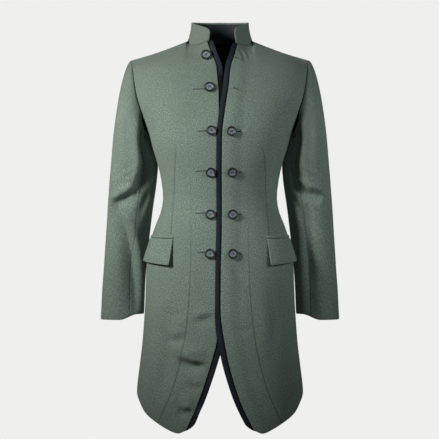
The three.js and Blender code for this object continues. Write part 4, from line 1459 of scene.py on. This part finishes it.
def turned_button():
    bpy.ops.object.select_all(action="DESELECT")
    bpy.ops.mesh.primitive_cylinder_add(
        vertices=64,
        radius=BUTTON_RADIUS * MM,
        depth=BUTTON_HEIGHT * MM,
        location=(0, 0, BUTTON_HEIGHT * MM / 2),
    )
    button = bpy.context.object
    bpy.ops.object.transform_apply(location=True)
    select_top(button.data, 1)
    bpy.ops.object.mode_set(mode="EDIT")
    bpy.ops.mesh.select_mode(type="FACE")
    for inset, drop in ((2.6, 0.0), (0.9, -1.0), (3.2, -0.35), (2.0, -0.05)):
        bpy.ops.mesh.inset(thickness=inset * MM)
        bpy.ops.transform.translate(value=(0, 0, drop * MM))
    bpy.ops.object.mode_set(mode="OBJECT")
    rounding = button.modifiers.new("rounding", "BEVEL")
    rounding.width = 0.75 * MM
    rounding.segments = 4
    rounding.angle_limit = math.radians(28)
    bpy.ops.object.modifier_apply(modifier="rounding")
    return button


def drill_holes(button):
    for k in range(4):
        turn = math.radians(45 + 90 * k)
        bpy.ops.object.select_all(action="DESELECT")
        bpy.ops.mesh.primitive_cylinder_add(
            vertices=20,
            radius=HOLE_RADIUS * MM,
            depth=12 * MM,
            location=(HOLE_OFF * MM * math.cos(turn), HOLE_OFF * MM * math.sin(turn), 0),
        )
        drill = bpy.context.object
        bpy.context.view_layer.objects.active = button
        cut = button.modifiers.new("cut", "BOOLEAN")
        cut.operation = "DIFFERENCE"
        cut.solver = "EXACT"
        cut.object = drill
        bpy.ops.object.modifier_apply(modifier="cut")
        bpy.data.objects.remove(drill)
    bpy.ops.object.select_all(action="DESELECT")
    button.select_set(True)
    bpy.context.view_layer.objects.active = button
    bpy.ops.object.shade_smooth_by_angle(angle=math.radians(35))


model_button = turned_button()
drill_holes(model_button)
print("button:", len(model_button.data.polygons), "faces, with four holes")


# %% Horn, and the thread
def horn():
    """Dark horn with a paler, polished face: the face is where the button is dished."""
    f = Finish("dark_horn")
    off = f.node("ShaderNodeAttribute", attribute_name="from_middle").outputs["Fac"]
    cloud = f.ramp(f.noise(f.object, 240, 3, stretch=(1, 1, 2.4)), 0.35, 0.68)
    face = f.blend(cloud, shade(74, 82, 92), shade(112, 122, 134))
    rim = f.ramp(off, 0.58, 0.68)
    ground = f.blend(rim, face, shade(12, 14, 17))
    scratches = f.noise(f.object, 1800, 2)
    return f.set(
        Base_Color=ground,
        Roughness=f.ramp(cloud, 0, 1, 0.38, 0.5),
        Coat_Weight=0.2,
        Coat_Roughness=0.26,
        Normal=f.bump(scratches, 0.12, 0.0001),
    )


def thread_finish(name, colour):
    f = Finish(name)
    twist = f.noise(f.object, 2600, 1)
    ground = f.blend(twist, colour, tuple(0.55 * c for c in colour[:3]) + (1,))
    return f.set(Base_Color=ground, Roughness=0.7, Sheen_Weight=0.15, Normal=f.bump(twist, 0.4, 0.0002))


HORN = horn()
# the dark thread of the buttons, also used as the painted shade in each buttonhole's slit and eye
BUTTON_THREAD_AND_HOLE_SHADE = thread_finish("button_thread_and_hole_shade", shade(9, 11, 12))
HOLE_THREAD = thread_finish("buttonhole_thread", shade(88, 103, 93))


def tube(points, radius, sides=6):
    """A closed tube of thread along a few points, as vertices and faces."""
    points = np.array(points, float)
    ahead = unit(np.gradient(points, axis=0))
    side = unit(np.cross(ahead, [0.137, 0.31, 0.94]))
    up = np.cross(ahead, side)
    turns = np.arange(sides) * 2 * np.pi / sides
    rings = [
        at + radius * (np.cos(turns)[:, None] * s + np.sin(turns)[:, None] * u)
        for at, s, u in zip(points, side, up)
    ]
    vertices = [*np.concatenate(rings).tolist(), points[0].tolist(), points[-1].tolist()]
    faces = []
    for k in range(len(points) - 1):
        for j in range(sides):
            n = (j + 1) % sides
            faces.append((k * sides + j, k * sides + n, (k + 1) * sides + n, (k + 1) * sides + j))
    last = (len(points) - 1) * sides
    for j in range(sides):
        n = (j + 1) % sides
        faces.append((n, j, len(vertices) - 2))
        faces.append((last + j, last + n, len(vertices) - 1))
    return vertices, faces


def mesh_of_tubes(name, tubes):
    vertices, faces = [], []
    for more, cells in tubes:
        start = len(vertices)
        vertices += more
        faces += [tuple(k + start for k in cell) for cell in cells]
    mesh = bpy.data.meshes.new(name)
    mesh.from_pydata((np.array(vertices) * MM).tolist(), [], faces)
    mesh.polygons.foreach_set("use_smooth", np.ones(len(faces), bool))
    mesh.update()
    return mesh


def button_threads():
    """Two bars of three strands each, down through the holes, and the shank under the button."""
    tubes = []
    reach = HOLE_OFF * math.cos(math.radians(45))
    face = BUTTON_HEIGHT - 1.4
    bridge = ((-1, -2.2), (-0.96, 0.1), (0, 0.62), (0.96, 0.1), (1, -2.2))
    for x in (-reach, reach):
        for strand in (-THREAD, 0, THREAD):
            bar = [(x + strand, share * reach, face + height) for share, height in bridge]
            tubes.append(tube(bar, THREAD / 2))
    shank = [(0, 0, -1.0), (0, 0, 0.0), (0, 0, 1.2)]
    tubes.append(tube(shank, 1.7, sides=12))
    return mesh_of_tubes("button_threads", tubes)


model_threads = button_threads()


# %% A button in each packed button's place
def packed_place(node):
    """The middle of a packed button's back, and the way in which it faces."""
    co = np.array([v.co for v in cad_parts[node].data.vertices])
    middle = co.mean(0)
    axis = np.linalg.svd(co - middle, full_matrices=False)[2][2]
    axis = axis if axis[1] < 0 else -axis
    heights = (co - middle) @ axis
    return Vector(middle + axis * heights.min()), Vector(axis)


def placed_copy(mesh, name, matrix, material):
    copy = mesh.copy()
    copy.transform(matrix)
    copy.materials.clear()
    copy.materials.append(material)
    piece = bpy.data.objects.new(name, copy)
    bpy.context.scene.collection.objects.link(piece)
    return piece


off_middle = np.array([math.hypot(v.co.x, v.co.y) for v in model_button.data.vertices])
attribute = model_button.data.attributes.new("from_middle", "FLOAT", "POINT")
attribute.data.foreach_set("value", (off_middle / off_middle.max()).astype(np.float32))
button_nodes = sorted(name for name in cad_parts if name.startswith("button_"))
for k, node in enumerate(button_nodes):
    at, axis = packed_place(node)
    spin = Matrix.Rotation(math.radians(11 * math.sin(3.1 * k)), 4, "Z")
    turn = axis.to_track_quat("Z", "Y").to_matrix().to_4x4()
    matrix = Matrix.Translation(at) @ turn @ spin
    placed(placed_copy(model_button.data, f"horn_{node}", matrix, HORN), node)
    placed(placed_copy(model_threads, f"thread_{node}", matrix, BUTTON_THREAD_AND_HOLE_SHADE))
bpy.data.objects.remove(model_button)
print(len(button_nodes), "buttons placed")

# %% [markdown]
# ## Buttonholes
# A tailor cuts a slit and works over its edges with close stitches, and makes a small round eye at
# the end where the button sits. Each stitch here is a short tube of thread, bent over the edge of
# the slit. The slit is found on the front by looking at it from straight ahead. The cloth is not cut:
# a thin dark line and a dark disc stand in for the open slit and eye, as painted shade.

# %% Worked buttonholes, as (start, end) distances from the middle and heights
HOLES = {
    "right": [
        ((66, -131), (38, -130)),
        ((55, -233), (34, -232)),
        ((59, -329), (35, -328.5)),
        ((59, -431), (35, -430)),
        ((54, -525), (33, -525)),
    ],
    "left": [
        ((57, -59), (38, -52)),
        ((46, -133), (34.5, -128.5)),
        ((52, -235.5), (37, -233)),
        ((52, -332), (39, -331)),
        ((52, -434), (40, -433.5)),
        ((52, -529), (41, -528.5)),
    ],
}
STITCH_STEP, STITCH_REACH = 0.7, 1.35
EYE = 2.0  # the eye's radius
ROUND_EYE = [(EYE - 0.3, -0.2), (EYE - 0.1, 0.3), (EYE + 0.3, 0.3), (EYE + 0.8, 0.05), (EYE + 0.9, -0.3)]


def face_tree(obj):
    mesh = obj.data
    return BVHTree.FromPolygons([v.co for v in mesh.vertices], [p.vertices for p in mesh.polygons])


def on_cloth(tree, x, z):
    """The cloth's point and normal at a place seen from straight ahead, in millimetres."""
    at, normal, _, _ = tree.ray_cast(Vector((x * MM, -0.5, z * MM)), Vector((0, 1, 0)))
    return np.array(at) / MM, np.array(normal)


def worked_hole(tree, side, start, end):
    """The stitches round one slit and its eye, and a dark line and disc painted in as the shade of the
    open slit and eye.
    """
    count = int(math.dist(start, end) / STITCH_STEP)
    run, rise = end[0] - start[0], end[1] - start[1]
    tubes, slit = [], []
    for k in range(count + 1):
        x, z = (mix(a, b, k / count) for a, b in zip(start, end))
        at, normal = on_cloth(tree, x * side, z)
        ahead, _ = on_cloth(tree, (x + run * 0.02) * side, z + rise * 0.02)
        up = np.cross(normal, unit(ahead - at))
        slit.append(at + normal * 0.05)
        for way in (-1, 1):
            reach = STITCH_REACH * (1 + 0.12 * math.sin(5.3 * k + way))
            over = [(0.12, -0.15), (0.22, 0.26), (0.5 * reach, 0.28), (reach, 0.05), (reach + 0.1, -0.3)]
            stitch = [at + up * way * off + normal * high for off, high in over]
            tubes.append(tube(stitch, 0.26, sides=5))
    forward = unit(slit[-1] - slit[-2])
    at, normal = on_cloth(tree, end[0] * side, end[1])
    for k in range(1, 8):
        turn = math.pi * (k / 8 - 0.5)
        ray = forward * math.cos(turn) + np.cross(normal, forward) * math.sin(turn)
        stitch = [slit[-1] + ray * off + normal * high for off, high in ROUND_EYE]
        tubes.append(tube(stitch, 0.3, sides=5))
    # painted shade: a dark disc for the open eye, and a dark line for the open slit
    eye = tube([at - normal * 0.8, at - normal * 0.3, at + normal * 0.12], EYE, sides=18)
    return tubes, [tube(slit, 0.16), eye]


for hand, side in HANDS:
    tree = face_tree(bpy.data.objects[f"cloth_front_{hand}"])
    for k, (start, end) in enumerate(HOLES[hand]):
        tubes, dark_tubes = worked_hole(tree, side, start, end)
        name = f"buttonhole_{hand}_{k + 1}"
        hole = bpy.data.objects.new(name, mesh_of_tubes(name, tubes + dark_tubes))
        hole.data.materials.append(HOLE_THREAD)
        hole.data.materials.append(BUTTON_THREAD_AND_HOLE_SHADE)
        # the slit and eye get the dark finish, as painted shade
        dark = sum(len(cells) for _, cells in dark_tubes)
        for polygon in hole.data.polygons[-dark:]:
            polygon.material_index = 1
        bpy.context.scene.collection.objects.link(hole)
        placed(hole)
    print(hand, "front:", len(HOLES[hand]), "buttonholes")

# %% [markdown]
# ## Measure and finish
# The triangles of all the shown pieces are counted.

# %% Triangles, and the end
triangles = sum(len(p.vertices) - 2 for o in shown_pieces() if o.type == "MESH" for p in o.data.polygons)
print("triangles:", triangles)
